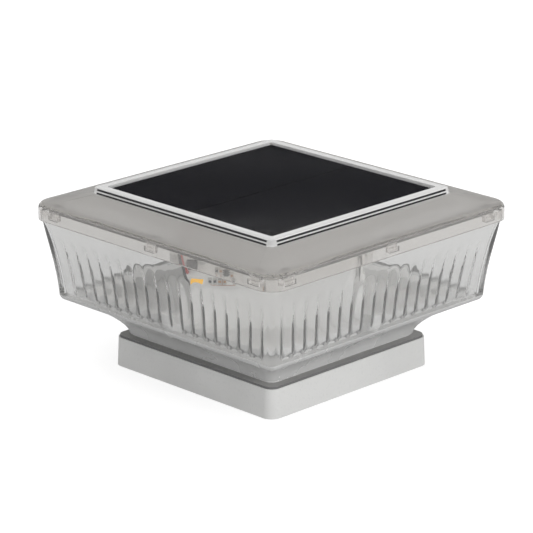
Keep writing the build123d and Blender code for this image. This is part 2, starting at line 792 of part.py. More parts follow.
# Control chip with its legs, resistors, capacitors and the lead connector on the main board
chip_x = -board_offset + chip_shift
chip_z = board_middle_height - chip_drop
with BuildPart() as chip:
    with Locations(main_front):
        with Locations((chip_x, chip_z, chip_lift)):
            Box(chip_width, chip_height, chip_depth, align=upward)
        with Locations((chip_x, chip_z)):
            leg_spacing = chip_width + chip_leg_length - 2 * chip_leg_overlap
            with GridLocations(leg_spacing, chip_height / 3, 2, 3):
                Box(
                    chip_leg_length,
                    chip_leg_width,
                    chip_leg_depth,
                    align=upward,
                )
chip.part.label = "chip"

row_x = -board_offset + lower_row_start
row_z = board_middle_height - lower_row_drop
with BuildPart() as resistors:
    with Locations(main_front):
        with Locations(
            (row_x, row_z),
            (row_x + lower_row_pitch, row_z),
            (-board_offset + end_resistor_shift, board_middle_height - end_resistor_drop),
            (-board_offset + upper_resistor_shift, board_middle_height + upper_part_rise),
        ):
            Box(chip_part_width, chip_part_length, chip_part_depth, align=upward)
resistors.part.label = "resistors"

with BuildPart() as capacitors:
    with Locations(main_front):
        with Locations(
            (row_x + 2 * lower_row_pitch, row_z),
            (row_x + 3 * lower_row_pitch, row_z),
            (-board_offset + end_capacitor_shift, board_middle_height - end_capacitor_drop),
            (-board_offset + upper_capacitor_shift, board_middle_height + upper_part_rise),
        ):
            Box(
                chip_part_width,
                chip_part_length,
                capacitor_depth,
                align=upward,
            )
capacitors.part.label = "capacitors"

connector_x = -board_offset + connector_shift
connector_z = board_middle_height + connector_rise
connector_top = connector_z + connector_height / 2
with BuildPart() as connector:
    with Locations(main_front):
        with Locations((connector_x, connector_z)):
            Box(connector_width, connector_height, connector_depth, align=upward)
        with Locations((connector_x, connector_top, connector_wall)):
            Box(
                connector_width - 2 * connector_wall,
                2 * connector_mouth,
                connector_depth - 2 * connector_wall,
                align=upward,
                mode=Mode.SUBTRACT,
            )
        with Locations((connector_x, connector_top - connector_mouth, connector_depth / 2)):
            with GridLocations(connector_pin_pitch, 1, 2, 1):
                pin_length = connector_mouth - connector_wall
                Box(connector_pin, pin_length, connector_pin, align=(Align.CENTER, Align.MIN, Align.CENTER))
connector.part.label = "connector"


# Rechargeable cell in its holder on the floor of the light box
holder_plane = Plane.XY.offset(box_floor_top).rotated((0, 0, box_turn))
with BuildPart() as holder:
    with Locations(holder_plane):
        with Locations((0, holder_shift)):
            Box(holder_length, holder_width, holder_height, align=upward)
            with Locations((0, 0, holder_floor)):
                Box(
                    holder_length - 2 * holder_wall,
                    holder_width - 2 * holder_wall,
                    holder_height,
                    align=upward,
                    mode=Mode.SUBTRACT,
                )
            with GridLocations(holder_screw_spacing, 1, 2, 1):
                Cylinder(board_screw_hole_radius, 3 * holder_floor, mode=Mode.SUBTRACT)
holder.part.label = "holder"

with BuildPart() as cell:
    with Locations(holder_plane):
        with Locations((0, holder_shift, cell_z)):
            Cylinder(cell_radius, cell_length, rotation=(0, 90, 0))
    chamfer(cell.edges().filter_by(GeomType.CIRCLE), length=cell_bevel)
cell.part.label = "cell"

with BuildPart() as cell_button:
    with Locations(holder_plane):
        with Locations((cell_length / 2 + cell_button_length / 2, holder_shift, cell_z)):
            Cylinder(cell_button_radius, cell_button_length, rotation=(0, 90, 0))
cell_button.part.label = "cell_button"

contact_place = holder_length / 2 - holder_wall - contact_thickness / 2
spring_end = cell_length / 2
spring_length = contact_place - contact_thickness / 2 - spring_end
with BuildPart() as contacts:
    with Locations(holder_plane):
        with Locations((0, holder_shift, holder_floor)):
            with GridLocations(2 * contact_place, 1, 2, 1):
                Box(contact_thickness, contact_width, contact_height, align=upward)
        with Locations((-spring_end - spring_length / 2, holder_shift, cell_z)):
            Cylinder(contact_spring_radius, spring_length, rotation=(0, 90, 0))
        button_end = cell_length / 2 + cell_button_length
        plate_face = contact_place - contact_thickness / 2
        with Locations(((button_end + plate_face) / 2, holder_shift, cell_z)):
            Cylinder(contact_pip_radius, plate_face - button_end, rotation=(0, 90, 0))
contacts.part.label = "contacts"

with BuildPart() as holder_screws:
    with Locations(holder_plane):
        with Locations((0, holder_shift, holder_floor)):
            with GridLocations(holder_screw_spacing, 1, 2, 1):
                Cylinder(
                    board_screw_shank_radius,
                    holder_floor + holder_screw_bite,
                    align=downward,
                )
                Cylinder(
                    board_screw_head_radius,
                    board_screw_head_height,
                    align=upward,
                )
holder_screws.part.label = "holder_screws"


# Switch: body and threaded bush through both floors, nut below, and the button that is pressed upward
lip_top = switch_bush_bottom + switch_lip
with BuildPart() as switch_body:
    with Locations((0, 0, box_floor_top)):
        Cylinder(switch_body_radius, switch_body_height, align=upward)
    with Locations((0, 0, switch_bush_bottom)):
        bush_length = box_floor_top - switch_bush_bottom
        Cylinder(switch_bush_radius, bush_length, align=upward)
        bore = button_radius + switch_bore_clearance
        Cylinder(bore, switch_lip, align=upward, mode=Mode.SUBTRACT)
    with Locations((0, 0, lip_top)):
        chamber = button_flange_gap + button_flange_height + button_travel + 2 * button_flange_gap
        Cylinder(switch_chamber_radius, chamber, align=upward, mode=Mode.SUBTRACT)
switch_body.part.label = "switch_body"

with BuildPart() as switch_nut:
    with BuildSketch(Plane.XY.offset(well_floor_bottom - nut_height)):
        RegularPolygon(nut_across_flats / 2, 6, major_radius=False)
        Circle(switch_bush_radius + nut_clearance, mode=Mode.SUBTRACT)
    extrude(amount=nut_height)
switch_nut.part.label = "switch_nut"

with BuildPart() as power_button:
    with Locations((0, 0, button_bottom)):
        stem = lip_top + button_flange_gap - button_bottom
        Cylinder(button_radius, stem, align=upward)
    fillet(power_button.edges().group_by(Axis.Z)[0], radius=button_round)
    with Locations((0, 0, lip_top + button_flange_gap)):
        Cylinder(button_flange_radius, button_flange_height, align=upward)
power_button.part.label = "power_button"


# Leads from the panel: out under the cover, down in front of the board and in to its left edge
pad_x = led_x - led_width / 2 - lead_pad_gap
for lead_name, lead_side, drop_reach, pad_rise in (
    ("black_lead", 0.5, black_drop_reach, black_pad_rise),
    ("red_lead", -0.5, red_drop_reach, red_pad_rise),
):
    lead_x = lead_hole_x + lead_side * lead_spacing
    pad_height = board_bottom + pad_rise
    with BuildPart() as lead:
        with BuildLine():
            route = FilletPolyline(
                (lead_x, lead_hole_y, back_sheet_bottom),
                (lead_x, lead_hole_y, lead_loop_height),
                main_front.from_local_coords((pad_x - lead_slant, lead_loop_height, drop_reach)),
                main_front.from_local_coords((pad_x, pad_height, drop_reach)),
                main_front.from_local_coords((pad_x, pad_height, 0)),
                radius=lead_bend,
            )
        with BuildSketch(Plane(origin=route @ 0, z_dir=route % 0)):
            Circle(lead_radius)
        sweep()
    lead.part.label = lead_name
    export_step(lead.part, f"parts/{lead_name}.step")


export_step(plinth.part, "parts/plinth.step")
export_step(plinth_seal.part, "parts/plinth_seal.step")
export_step(bowl.part, "parts/bowl.step")
export_step(tray.part, "parts/tray.step")
export_step(tray_seal.part, "parts/tray_seal.step")
export_step(tray_screws.part, "parts/tray_screws.step")
export_step(cover.part, "parts/cover.step")
export_step(cover_seal.part, "parts/cover_seal.step")
export_step(panel_sealant.part, "parts/panel_sealant.step")
export_step(back_sheet.part, "parts/back_sheet.step")
export_step(solar_cells.part, "parts/solar_cells.step")
export_step(laminate.part, "parts/laminate.step")
export_step(light_box.part, "parts/light_box.step")
export_step(box_screws.part, "parts/box_screws.step")
export_step(main_board.part, "parts/main_board.step")
export_step(led_boards.part, "parts/led_boards.step")
export_step(board_screws.part, "parts/board_screws.step")
export_step(led_packages.part, "parts/led_packages.step")
export_step(led_phosphors.part, "parts/led_phosphors.step")
export_step(chip.part, "parts/chip.step")
export_step(resistors.part, "parts/resistors.step")
export_step(capacitors.part, "parts/capacitors.step")
export_step(connector.part, "parts/connector.step")
export_step(holder.part, "parts/holder.step")
export_step(cell.part, "parts/cell.step")
export_step(cell_button.part, "parts/cell_button.step")
export_step(contacts.part, "parts/contacts.step")
export_step(holder_screws.part, "parts/holder_screws.step")
export_step(switch_body.part, "parts/switch_body.step")
export_step(switch_nut.part, "parts/switch_nut.step")
export_step(power_button.part, "parts/power_button.step")
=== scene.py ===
"""Looks of the solar pillar light.

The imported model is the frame. This file gives every piece its finish, puts a finely reeded bowl with a curved
base, a cover with a clear rim and a glazed panel in place of the plain ones, dresses the boards with pads,
traces and chip parts, and sets a white studio round the light.
Lengths are in metres, in the same frame as the model: the origin is the middle of the plinth's underside.
"""

import math

import bmesh
import bpy
from mathutils import Matrix, Vector


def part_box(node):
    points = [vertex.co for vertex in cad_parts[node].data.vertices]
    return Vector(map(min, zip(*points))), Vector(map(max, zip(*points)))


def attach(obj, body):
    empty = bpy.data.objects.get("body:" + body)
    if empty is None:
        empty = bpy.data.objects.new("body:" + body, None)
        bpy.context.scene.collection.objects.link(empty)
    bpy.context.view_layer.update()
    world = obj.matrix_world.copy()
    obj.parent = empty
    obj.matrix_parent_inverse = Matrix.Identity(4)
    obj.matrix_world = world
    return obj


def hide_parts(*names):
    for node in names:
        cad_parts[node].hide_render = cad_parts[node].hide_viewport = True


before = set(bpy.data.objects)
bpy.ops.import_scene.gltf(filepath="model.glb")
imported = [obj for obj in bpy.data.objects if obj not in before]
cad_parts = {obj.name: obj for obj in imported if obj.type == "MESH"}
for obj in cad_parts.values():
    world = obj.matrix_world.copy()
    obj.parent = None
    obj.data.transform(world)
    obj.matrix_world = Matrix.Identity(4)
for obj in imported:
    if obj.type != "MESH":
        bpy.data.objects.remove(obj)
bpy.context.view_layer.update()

bl_info = {
    "name": "Solar pillar light",
    "version": (1, 0, 0),
    "blender": (4, 5, 0),
    "location": "View3D > Sidebar > Pillar light",
    "description": "Finishes, reeded bowl, board details and studio for a solar pillar light",
    "category": "Object",
}

MM = 0.001
SQUARE_TO_AXIS = 0.9999
MERGE_DISTANCE = 0.001 * MM
SHARP_ANGLE = math.radians(30)
QUARTER_TURN = math.pi / 2

# The camera, from the square edges of the light in the photograph
PHOTO_SIDE = 533
PHOTO_FOCAL = 2739
SENSOR_WIDTH = 36.0
AIM_HEIGHT = 45.65 * MM
AIM_LEFT = 2.16 * MM
NEAREST_SEEN = 0.05
FARTHEST_SEEN = 30.0

# The studio
FLOOR_REACH = 6.0
FLOOR_DROP = 0.05 * MM
KEY_LAMP_PLACE = (1.5, -0.25, 0.85)
KEY_LAMP_SIZE = 1.1
KEY_LAMP_POWER = 12.0
TOP_LAMP_PLACE = (-0.2, 0.1, 1.6)
TOP_LAMP_SIZE = 1.4
TOP_LAMP_POWER = 5.0

# Bowl, with the curved base below it
NECK_HOLE = 106.2 * MM
NECK_INNER_CORNER = 3.6 * MM
NECK_HEIGHT = 7.9 * MM
BASE_SIDE = 92.6 * MM
BASE_HOLE = 91.0 * MM
BASE_CORNER = 6.0 * MM
BASE_GAP = 0.9 * MM
BASE_CURVE = 1.9
BASE_STEPS = 8
WELL_GAP = 0.4 * MM
WELL_FLOOR = 2.0 * MM
BOWL_BOTTOM_SIDE = 134.4 * MM
BOWL_CORNER = 2.4 * MM
BOWL_RIM_CORNER = 6.0 * MM
BOWL_CORNER_BIAS = 5
SHARPEST_CORNER = 0.1 * MM
BOWL_BOTTOM_ROUND = 3.9 * MM
BOWL_ROUND_MARGIN = 0.5 * MM
BOWL_WALL = 2.2 * MM
RIM_EDGE = 0.3 * MM
FLARE_BIAS = 0.56
FLUTE_STOP = 0.9 * MM
FLUTE_CORNER = 3.6 * MM
FLUTE_TOP_SHARE = 0.79
FLUTE_TOP_CURVE = 0.55
FLUTE_END = 4.5 * MM
FLUTE_ROWS = 24
FLUTE_ROW_BIAS = 1.4
WALL_STEPS = 14
ROUND_STEPS = 8
FLUTE_STEPS = 10
SHALLOWEST_FLUTE = 0.001 * MM
DULL_BELOW = 44.0 * MM
CLEAR_ABOVE = 60.0 * MM

# Holes in the bowl
HOOK_PLACES = (-62.0 * MM, 0.0, 62.0 * MM)
WINDOW_SIZE = (6.2 * MM, 1.4 * MM, 2.2 * MM)
WINDOW_MIDDLE = (-71.0 * MM, 70.1 * MM)
TRAY_SCREW_REACH = 59.4 * MM
TRAY_SCREW_HOLE = 1.7 * MM
HOLE_SEGMENTS = 32

# Cover and panel
SHOULDER_LOW = 75.4 * MM
RIM_FOOT = 79.7 * MM
RIM_MIDDLE = 53.4 * MM
RIM_CORNER_REACH = 53.0 * MM
# Heights above the rim's foot of two painted black lines, which stand for the panel's black edge seen through
# the clear rim
PAINTED_RIM_LINES = ((0.1 * MM, 0.8 * MM), (1.5 * MM, 2.3 * MM))
PAINTED_RIM_LINE_BLUR = 0.1 * MM
PAINTED_RIM_LINE_FADE = 1.0 * MM
POCKET_SIDE = 102.2 * MM
FINGER_SPACING = 1.9 * MM
GLAZING_GAP = 0.05 * MM
GLAZING_BEVEL = 0.25 * MM
GLAZING_STEPS = 3

# Boards: along the main board, out of it, and the turn that they share with the light box
BOARD_TURN = math.radians(45)
ALONG = Vector((math.cos(BOARD_TURN), math.sin(BOARD_TURN), 0))
OUTWARD = Vector((math.sin(BOARD_TURN), -math.cos(BOARD_TURN), 0))
UPWARD = Vector((0, 0, 1))
CAP_LENGTH = 0.45 * MM
CAPS_UNCOVERED = 1.9
BODY_WIDTH_SHARE = 0.94
BODY_DEPTH_SHARE = 0.92
PAD_WIDTH_SHARE = 1.25
PAD_REACH_SHARE = 1.1
TRACE_WIDTH = 0.45 * MM
TRACE_THICKNESS = 0.07 * MM
TRACE_SIDES = 6
PAD_LENGTH = 1.1 * MM
BUS_MARGIN = 0.9 * MM
SLEEVE_REACH = 24.3 * MM


# Settings


class PillarLightSizes(bpy.types.PropertyGroup):
    """Sizes that change the look of the light without changing its outline"""

    flutes_per_side: bpy.props.IntProperty(
        name="Flutes per side",
        description="Number of flutes moulded on the inside of each wall of the bowl",
        default=18,
        min=4,
        max=40,
    )
    flute_depth: bpy.props.FloatProperty(
        name="Flute depth",
        description="How far each flute stands out from the wall near the bottom of the bowl",
        default=0.74 * MM,
        min=0.1 * MM,
        max=1.4 * MM,
        unit="LENGTH",
    )
    camera_distance: bpy.props.FloatProperty(
        name="Camera distance",
        description="Distance from the camera to the point it looks at",
        default=1.211,
        min=0.3,
        max=5.0,
        unit="LENGTH",
    )
    camera_height: bpy.props.FloatProperty(
        name="Camera elevation",
        description="Angle of the camera above the horizon",
        default=math.radians(18.23),
        min=0.0,
        max=math.pi / 2,
        subtype="ANGLE",
    )


def colour_setting(name, description, default):
    """A colour that a user would change."""
    return bpy.props.FloatVectorProperty(
        name=name, description=description, default=default, size=4, min=0.0, max=1.0, subtype="COLOR"
    )


class PillarLightColours(bpy.types.PropertyGroup):
    """Colours of the light's finishes"""

    housing: colour_setting("Housing", "Grey of the plinth", (0.69, 0.69, 0.68, 1.0))
    tray: colour_setting("Floor tray", "Light grey of the floor inside the bowl", (0.76, 0.76, 0.755, 1.0))
    light_box: colour_setting("Light box", "White of the light box inside the bowl", (0.83, 0.83, 0.82, 1.0))
    frost: colour_setting("Frosted cover", "Tone of the cover's frosted shoulder", (0.59, 0.575, 0.555, 1.0))
    cells: colour_setting("Solar cells", "Near-black of the solar cells", (0.007, 0.007, 0.009, 1.0))
    seal: colour_setting("Plinth seal", "Dark grey of the rubber seal", (0.16, 0.16, 0.162, 1.0))


# Node helpers


def place(tree, kind, settings=None, **inputs):
    """Adds a node, sets its properties and fills its inputs. Spaces are written as _, places as i0, i1."""
    node = tree.nodes.new(kind)
    for name, value in (settings or {}).items():
        setattr(node, name, value)
    for name, value in inputs.items():
        key = int(name[1:]) if name[0] == "i" and name[1:].isdigit() else name.replace("_", " ")
        connect(tree, value, node.inputs[key])
    return node


def connect(tree, value, socket):
    """Leads a link into a socket, or sets a plain value on it."""
    if isinstance(value, bpy.types.NodeSocket):
        tree.links.new(value, socket)
    else:
        socket.default_value = value


def calc(tree, operation, *values):
    """One Math node, with its result."""
    sockets = {f"i{number}": value for number, value in enumerate(values)}
    return place(tree, "ShaderNodeMath", {"operation": operation}, **sockets).outputs[0]


def ramp(tree, value, low, high, out_low=0.0, out_high=1.0):
    """A smooth step from low to high, with its result."""
    node = place(
        tree,
        "ShaderNodeMapRange",
        {"interpolation_type": "SMOOTHSTEP"},
        Value=value,
        From_Min=low,
        From_Max=high,
        To_Min=out_low,
        To_Max=out_high,
    )
    return node.outputs["Result"]


def blend(tree, share, first, second):
    """A mix of two colours, with its result."""
    node = tree.nodes.new("ShaderNodeMix")
    node.data_type = "RGBA"
    for number, value in ((0, share), (6, first), (7, second)):
        connect(tree, value, node.inputs[number])
    return node.outputs[2]


def shade(colour, factor):
    """A colour made darker or lighter."""
    return [min(1.0, factor * part) for part in colour[:3]] + [1.0]


def noise(tree, where, size, detail=2.0, roughness=0.5):
    """Cloudy noise with patches of about the given size, from 0 to 1."""
    node = place(
        tree, "ShaderNodeTexNoise", Vector=where, Scale=0.5 / size, Detail=detail, Roughness=roughness
    )
    return node.outputs["Fac"]


def new_group(name, inputs, outputs):
    """An empty shader group with float inputs and outputs."""
    tree = bpy.data.node_groups.new(name, "ShaderNodeTree")
    for label, default in inputs:
        socket = tree.interface.new_socket(name=label, in_out="INPUT", socket_type="NodeSocketFloat")
        socket.default_value = default
    for label in outputs:
        tree.interface.new_socket(name=label, in_out="OUTPUT", socket_type="NodeSocketFloat")
    return tree, tree.nodes.new("NodeGroupInput"), tree.nodes.new("NodeGroupOutput")


def object_place(tree):
    """Object coordinates."""
    return tree.nodes.new("ShaderNodeTexCoord").outputs["Object"]


def moulded_grain():
    """Skin of a moulded part: fine grain as Height, slow Cloud and small Speckle for colour and gloss."""
    if "moulded grain" in bpy.data.node_groups:
        return bpy.data.node_groups["moulded grain"]
    tree, given, result = new_group(
        "moulded grain", [("Grain", 900.0), ("Cloud", 30.0)], ["Height", "Cloud", "Speckle"]
    )
    where = object_place(tree)
    fine = place(tree, "ShaderNodeTexNoise", Vector=where, Scale=given.outputs["Grain"], Detail=3.0)
    pits = place(tree, "ShaderNodeTexVoronoi", Vector=where, Scale=given.outputs["Grain"])
    slow = place(tree, "ShaderNodeTexNoise", Vector=where, Scale=given.outputs["Cloud"], Detail=4.0)
    specks = place(tree, "ShaderNodeTexNoise", Vector=where, Scale=given.outputs["Grain"], Detail=0.0)
    height = calc(tree, "ADD", fine.outputs["Fac"], calc(tree, "MULTIPLY", pits.outputs["Distance"], 0.6))
    tree.links.new(height, result.inputs["Height"])
    tree.links.new(slow.outputs["Fac"], result.inputs["Cloud"])
    tree.links.new(ramp(tree, specks.outputs["Fac"], 0.62, 0.78), result.inputs["Speckle"])
    return tree


def settled_dust():
    """Dust on faces that look up, broken by noise."""
    if "settled dust" in bpy.data.node_groups:
        return bpy.data.node_groups["settled dust"]
    tree, given, result = new_group("settled dust", [("Amount", 0.3), ("Patch", 60.0)], ["Mask"])
    normal = tree.nodes.new("ShaderNodeNewGeometry").outputs["Normal"]
    up = ramp(tree, place(tree, "ShaderNodeSeparateXYZ", Vector=normal).outputs["Z"], 0.3, 1.0)
    patch = place(
        tree, "ShaderNodeTexNoise", Vector=object_place(tree), Scale=given.outputs["Patch"], Detail=5.0
    )
    mask = calc(tree, "MULTIPLY", up, ramp(tree, patch.outputs["Fac"], 0.35, 0.75))
    tree.links.new(calc(tree, "MULTIPLY", mask, given.outputs["Amount"]), result.inputs["Mask"])
    return tree


def rubbed_edges():
    """Rubbing near two heights of a piece, such as its lower and upper edge, broken by noise."""
    if "rubbed edges" in bpy.data.node_groups:
        return bpy.data.node_groups["rubbed edges"]
    tree, given, result = new_group(
        "rubbed edges", [("Low", 0.0), ("High", 0.01), ("Width", 0.0006)], ["Mask"]
    )
    where = object_place(tree)
    height = place(tree, "ShaderNodeSeparateXYZ", Vector=where).outputs["Z"]
    below = calc(tree, "ABSOLUTE", calc(tree, "SUBTRACT", height, given.outputs["Low"]))
    above = calc(tree, "ABSOLUTE", calc(tree, "SUBTRACT", height, given.outputs["High"]))
    near = calc(tree, "DIVIDE", calc(tree, "MINIMUM", below, above), given.outputs["Width"])
    broken = ramp(tree, noise(tree, where, 2 * MM, 4.0), 0.35, 0.7)
    tree.links.new(calc(tree, "MULTIPLY", ramp(tree, near, 1.0, 0.2), broken), result.inputs["Mask"])
    return tree


def new_material(name):
    """A material with its tree and its shader."""
    material = bpy.data.materials.new(name)
    material.use_nodes = True
    return material, material.node_tree, material.node_tree.nodes["Principled BSDF"]


def use_group(tree, group, **inputs):
    """Places a shared effect with its own values."""
    return place(tree, "ShaderNodeGroup", {"node_tree": group}, **inputs)


def emboss(tree, shader, height, strength, distance):
    """Leads a height into the shader's Normal through a Bump node."""
    bump = place(tree, "ShaderNodeBump", Height=height, Strength=strength, Distance=distance)
    tree.links.new(bump.outputs["Normal"], shader.inputs["Normal"])


def fill(shader, **values):
    """Sets plain values on the shader's own sockets."""
    for name, value in values.items():
        shader.inputs[name.replace("_", " ")].default_value = value


def paint(tree, shader, colour, roughness):
    """Leads a colour and a roughness into the shader."""
    tree.links.new(colour, shader.inputs["Base Color"])
    tree.links.new(roughness, shader.inputs["Roughness"])


def let_light_in(tree, shader, tint):
    """Lets lamps and soft light reach what is behind a clear wall, which still bends what is seen."""
    path = tree.nodes.new("ShaderNodeLightPath")
    lighting = calc(tree, "MAXIMUM", path.outputs["Is Shadow Ray"], path.outputs["Is Diffuse Ray"])
    clear = place(tree, "ShaderNodeBsdfTransparent", Color=tint)
    mix = place(
        tree, "ShaderNodeMixShader", i0=lighting, i1=shader.outputs["BSDF"], i2=clear.outputs["BSDF"]
    )
    tree.links.new(mix.outputs["Shader"], tree.nodes["Material Output"].inputs["Surface"])


def darken_long_ways(tree, colour, density):
    """Takes light away along the way through the plastic, so that edges and trapped rays turn dark."""
    inside = place(tree, "ShaderNodeVolumeAbsorption", Color=colour, Density=density)
    tree.links.new(inside.outputs["Volume"], tree.nodes["Material Output"].inputs["Volume"])


# Finishes


def moulding(name, colour, low, high, grain=900.0, gloss=0.55, dust=0.25):
    """Opaque moulded plastic with spark grain, slow tone changes, rubbed edges and a little dust."""
    material, tree, shader = new_material(name)
    skin = use_group(tree, moulded_grain(), Grain=grain, Cloud=28.0)
    rubbed = use_group(tree, rubbed_edges(), Low=low, High=high, Width=0.7 * MM).outputs["Mask"]
    dusty = use_group(tree, settled_dust(), Amount=dust, Patch=70.0)
    tone = blend(tree, ramp(tree, skin.outputs["Cloud"], 0.3, 0.7), shade(colour, 0.93), shade(colour, 1.04))
    tone = blend(tree, calc(tree, "MULTIPLY", skin.outputs["Speckle"], 0.18), tone, shade(colour, 0.8))
    tone = blend(tree, calc(tree, "MULTIPLY", rubbed, 0.35), tone, (0.78, 0.78, 0.77, 1.0))
    tone = blend(tree, dusty.outputs["Mask"], tone, (0.56, 0.54, 0.50, 1.0))
    satin = ramp(tree, skin.outputs["Cloud"], 0.25, 0.75, gloss - 0.06, gloss + 0.06)
    paint(tree, shader, tone, calc(tree, "ADD", satin, calc(tree, "MULTIPLY", rubbed, -0.12)))
    fill(shader, IOR=1.5)
    emboss(tree, shader, skin.outputs["Height"], 0.25, 0.05 * MM)
    return material


def clear_bowl_plastic():
    """Slightly hazy clear plastic of the bowl, with faint flow marks and a skin that is duller lower down."""
    material, tree, shader = new_material("clear_bowl_plastic")
    where = object_place(tree)
    flow = place(tree, "ShaderNodeMapping", Vector=where, Scale=(1.0, 1.0, 0.18)).outputs["Vector"]
    film = noise(tree, where, 14 * MM, 4.0)
    height = place(tree, "ShaderNodeSeparateXYZ", Vector=where).outputs["Z"]
    tone = blend(tree, ramp(tree, film, 0.3, 0.75), (0.94, 0.94, 0.935, 1.0), (0.97, 0.97, 0.968, 1.0))
    low_dull = ramp(tree, height, DULL_BELOW, CLEAR_ABOVE, 0.13, 0.0)
    film_dull = ramp(tree, film, 0.3, 0.8, 0.0, 0.012)
    paint(tree, shader, tone, calc(tree, "ADD", low_dull, film_dull))
    fill(shader, IOR=1.49, Transmission_Weight=0.96)
    emboss(tree, shader, noise(tree, flow, 6 * MM, 3.0), 0.05, 0.2 * MM)
    let_light_in(tree, shader, (0.94, 0.94, 0.94, 1.0))
    darken_long_ways(tree, (0.5, 0.5, 0.49, 1.0), 36.0)
    return material


def satin_base_plastic():
    """Satin skin of the bowl's underside and curved base, which hides most of what is behind it."""
    material, tree, shader = new_material("satin_base_plastic")
    skin = use_group(tree, moulded_grain(), Grain=1300.0, Cloud=40.0)
    cloud = ramp(tree, skin.outputs["Cloud"], 0.3, 0.7)
    tone = blend(tree, cloud, (0.70, 0.70, 0.695, 1.0), (0.76, 0.76, 0.755, 1.0))
    paint(tree, shader, tone, ramp(tree, cloud, 0.0, 1.0, 0.22, 0.3))
    fill(shader, IOR=1.49, Transmission_Weight=0.45)
    emboss(tree, shader, skin.outputs["Height"], 0.12, 0.03 * MM)
    let_light_in(tree, shader, (0.75, 0.75, 0.75, 1.0))
    return material


def frosted_shoulder_plastic(frost):
    """Frosted shoulder of the cover."""
    material, tree, shader = new_material("frosted_shoulder_plastic")
    skin = use_group(tree, moulded_grain(), Grain=1400.0, Cloud=18.0)
    cloud = ramp(tree, skin.outputs["Cloud"], 0.3, 0.7)
    milky = blend(tree, cloud, shade(frost, 0.95), frost)
    paint(tree, shader, milky, ramp(tree, cloud, 0.0, 1.0, 0.48, 0.54))
    fill(shader, IOR=1.49, Transmission_Weight=0.75)
    emboss(tree, shader, skin.outputs["Height"], 0.2, 0.04 * MM)
    let_light_in(tree, shader, (0.8, 0.79, 0.78, 1.0))
    return material


def clear_skirt_plastic():
    """Clear skirt of the cover, faintly warm."""
    material, tree, shader = new_material("clear_skirt_plastic")
    where = object_place(tree)
    film = noise(tree, where, 9 * MM, 4.0)
    tone = blend(tree, film, (0.88, 0.86, 0.84, 1.0), (0.92, 0.905, 0.89, 1.0))
    paint(tree, shader, tone, ramp(tree, film, 0.3, 0.8, 0.01, 0.04))
    fill(shader, IOR=1.49, Transmission_Weight=0.95)
    emboss(tree, shader, film, 0.03, 0.1 * MM)
    let_light_in(tree, shader, (0.9, 0.89, 0.88, 1.0))
    return material


def clear_rim_plastic():
    """Polished clear rim round the panel, with two painted black lines in its outer side that stand for the
    panel's black edge seen through the rim.
    """
    material, tree, shader = new_material("clear_rim_plastic")
    where = object_place(tree)
    film = noise(tree, where, 6 * MM, 4.0)
    tone = blend(tree, film, (0.93, 0.93, 0.93, 1.0), (0.97, 0.97, 0.97, 1.0))
    split = place(tree, "ShaderNodeSeparateXYZ", Vector=where)
    across = calc(tree, "ABSOLUTE", split.outputs["X"])
    deep = calc(tree, "ABSOLUTE", split.outputs["Y"])
    outer = calc(tree, "GREATER_THAN", calc(tree, "MAXIMUM", across, deep), RIM_MIDDLE)
    fade_start = RIM_CORNER_REACH - PAINTED_RIM_LINE_FADE
    straight = ramp(tree, calc(tree, "MINIMUM", across, deep), RIM_CORNER_REACH, fade_start)
    lines = calc(tree, "MULTIPLY", outer, straight)
    rise = calc(tree, "SUBTRACT", split.outputs["Z"], RIM_FOOT)
    # Painted black lines, which stand for the panel's black edge seen through the rim
    for low, high in PAINTED_RIM_LINES:
        above = ramp(tree, rise, low - PAINTED_RIM_LINE_BLUR, low)
        below = ramp(tree, rise, high + PAINTED_RIM_LINE_BLUR, high)
        line = calc(tree, "MULTIPLY", lines, calc(tree, "MULTIPLY", above, below))
        tone = blend(tree, line, tone, (0.004, 0.004, 0.005, 1.0))
    paint(tree, shader, tone, ramp(tree, film, 0.3, 0.8, 0.02, 0.06))
    fill(shader, IOR=1.49, Transmission_Weight=0.5)
    emboss(tree, shader, film, 0.04, 0.1 * MM)
    let_light_in(tree, shader, (0.9, 0.9, 0.9, 1.0))
    return material


def rubber(name, colour):
    """Soft seal: dull, with a chalky bloom, painted light that makes its flat top lighter, and fine grain."""
    material, tree, shader = new_material(name)
    skin = use_group(tree, moulded_grain(), Grain=1200.0, Cloud=45.0)
    bloom = calc(tree, "MULTIPLY", ramp(tree, skin.outputs["Cloud"], 0.4, 0.75), 0.3)
    dull = ramp(tree, skin.outputs["Cloud"], 0.3, 0.7, 0.72, 0.9)
    normal = tree.nodes.new("ShaderNodeNewGeometry").outputs["Normal"]
    # Painted light: faces that look up are made lighter, as if lit from above
    upward = ramp(tree, place(tree, "ShaderNodeSeparateXYZ", Vector=normal).outputs["Z"], 0.5, 0.95)
    tone = blend(tree, bloom, colour, shade(colour, 1.6))
    tone = blend(tree, calc(tree, "MULTIPLY", upward, 0.8), tone, (0.46, 0.455, 0.445, 1.0))
    paint(tree, shader, tone, dull)
    emboss(tree, shader, skin.outputs["Height"], 0.3, 0.06 * MM)
    return material


def silicone():
    """Clear silicone of the inner seals and of the bead under the panel."""
    material, tree, shader = new_material("clear_silicone_skin")
    skin = use_group(tree, moulded_grain(), Grain=700.0, Cloud=60.0)
    tone = blend(tree, skin.outputs["Cloud"], (0.78, 0.77, 0.74, 1.0), (0.9, 0.9, 0.88, 1.0))
    paint(tree, shader, tone, ramp(tree, skin.outputs["Cloud"], 0.3, 0.7, 0.28, 0.42))
    fill(shader, IOR=1.41, Transmission_Weight=0.6)
    emboss(tree, shader, skin.outputs["Height"], 0.2, 0.05 * MM)
    return material


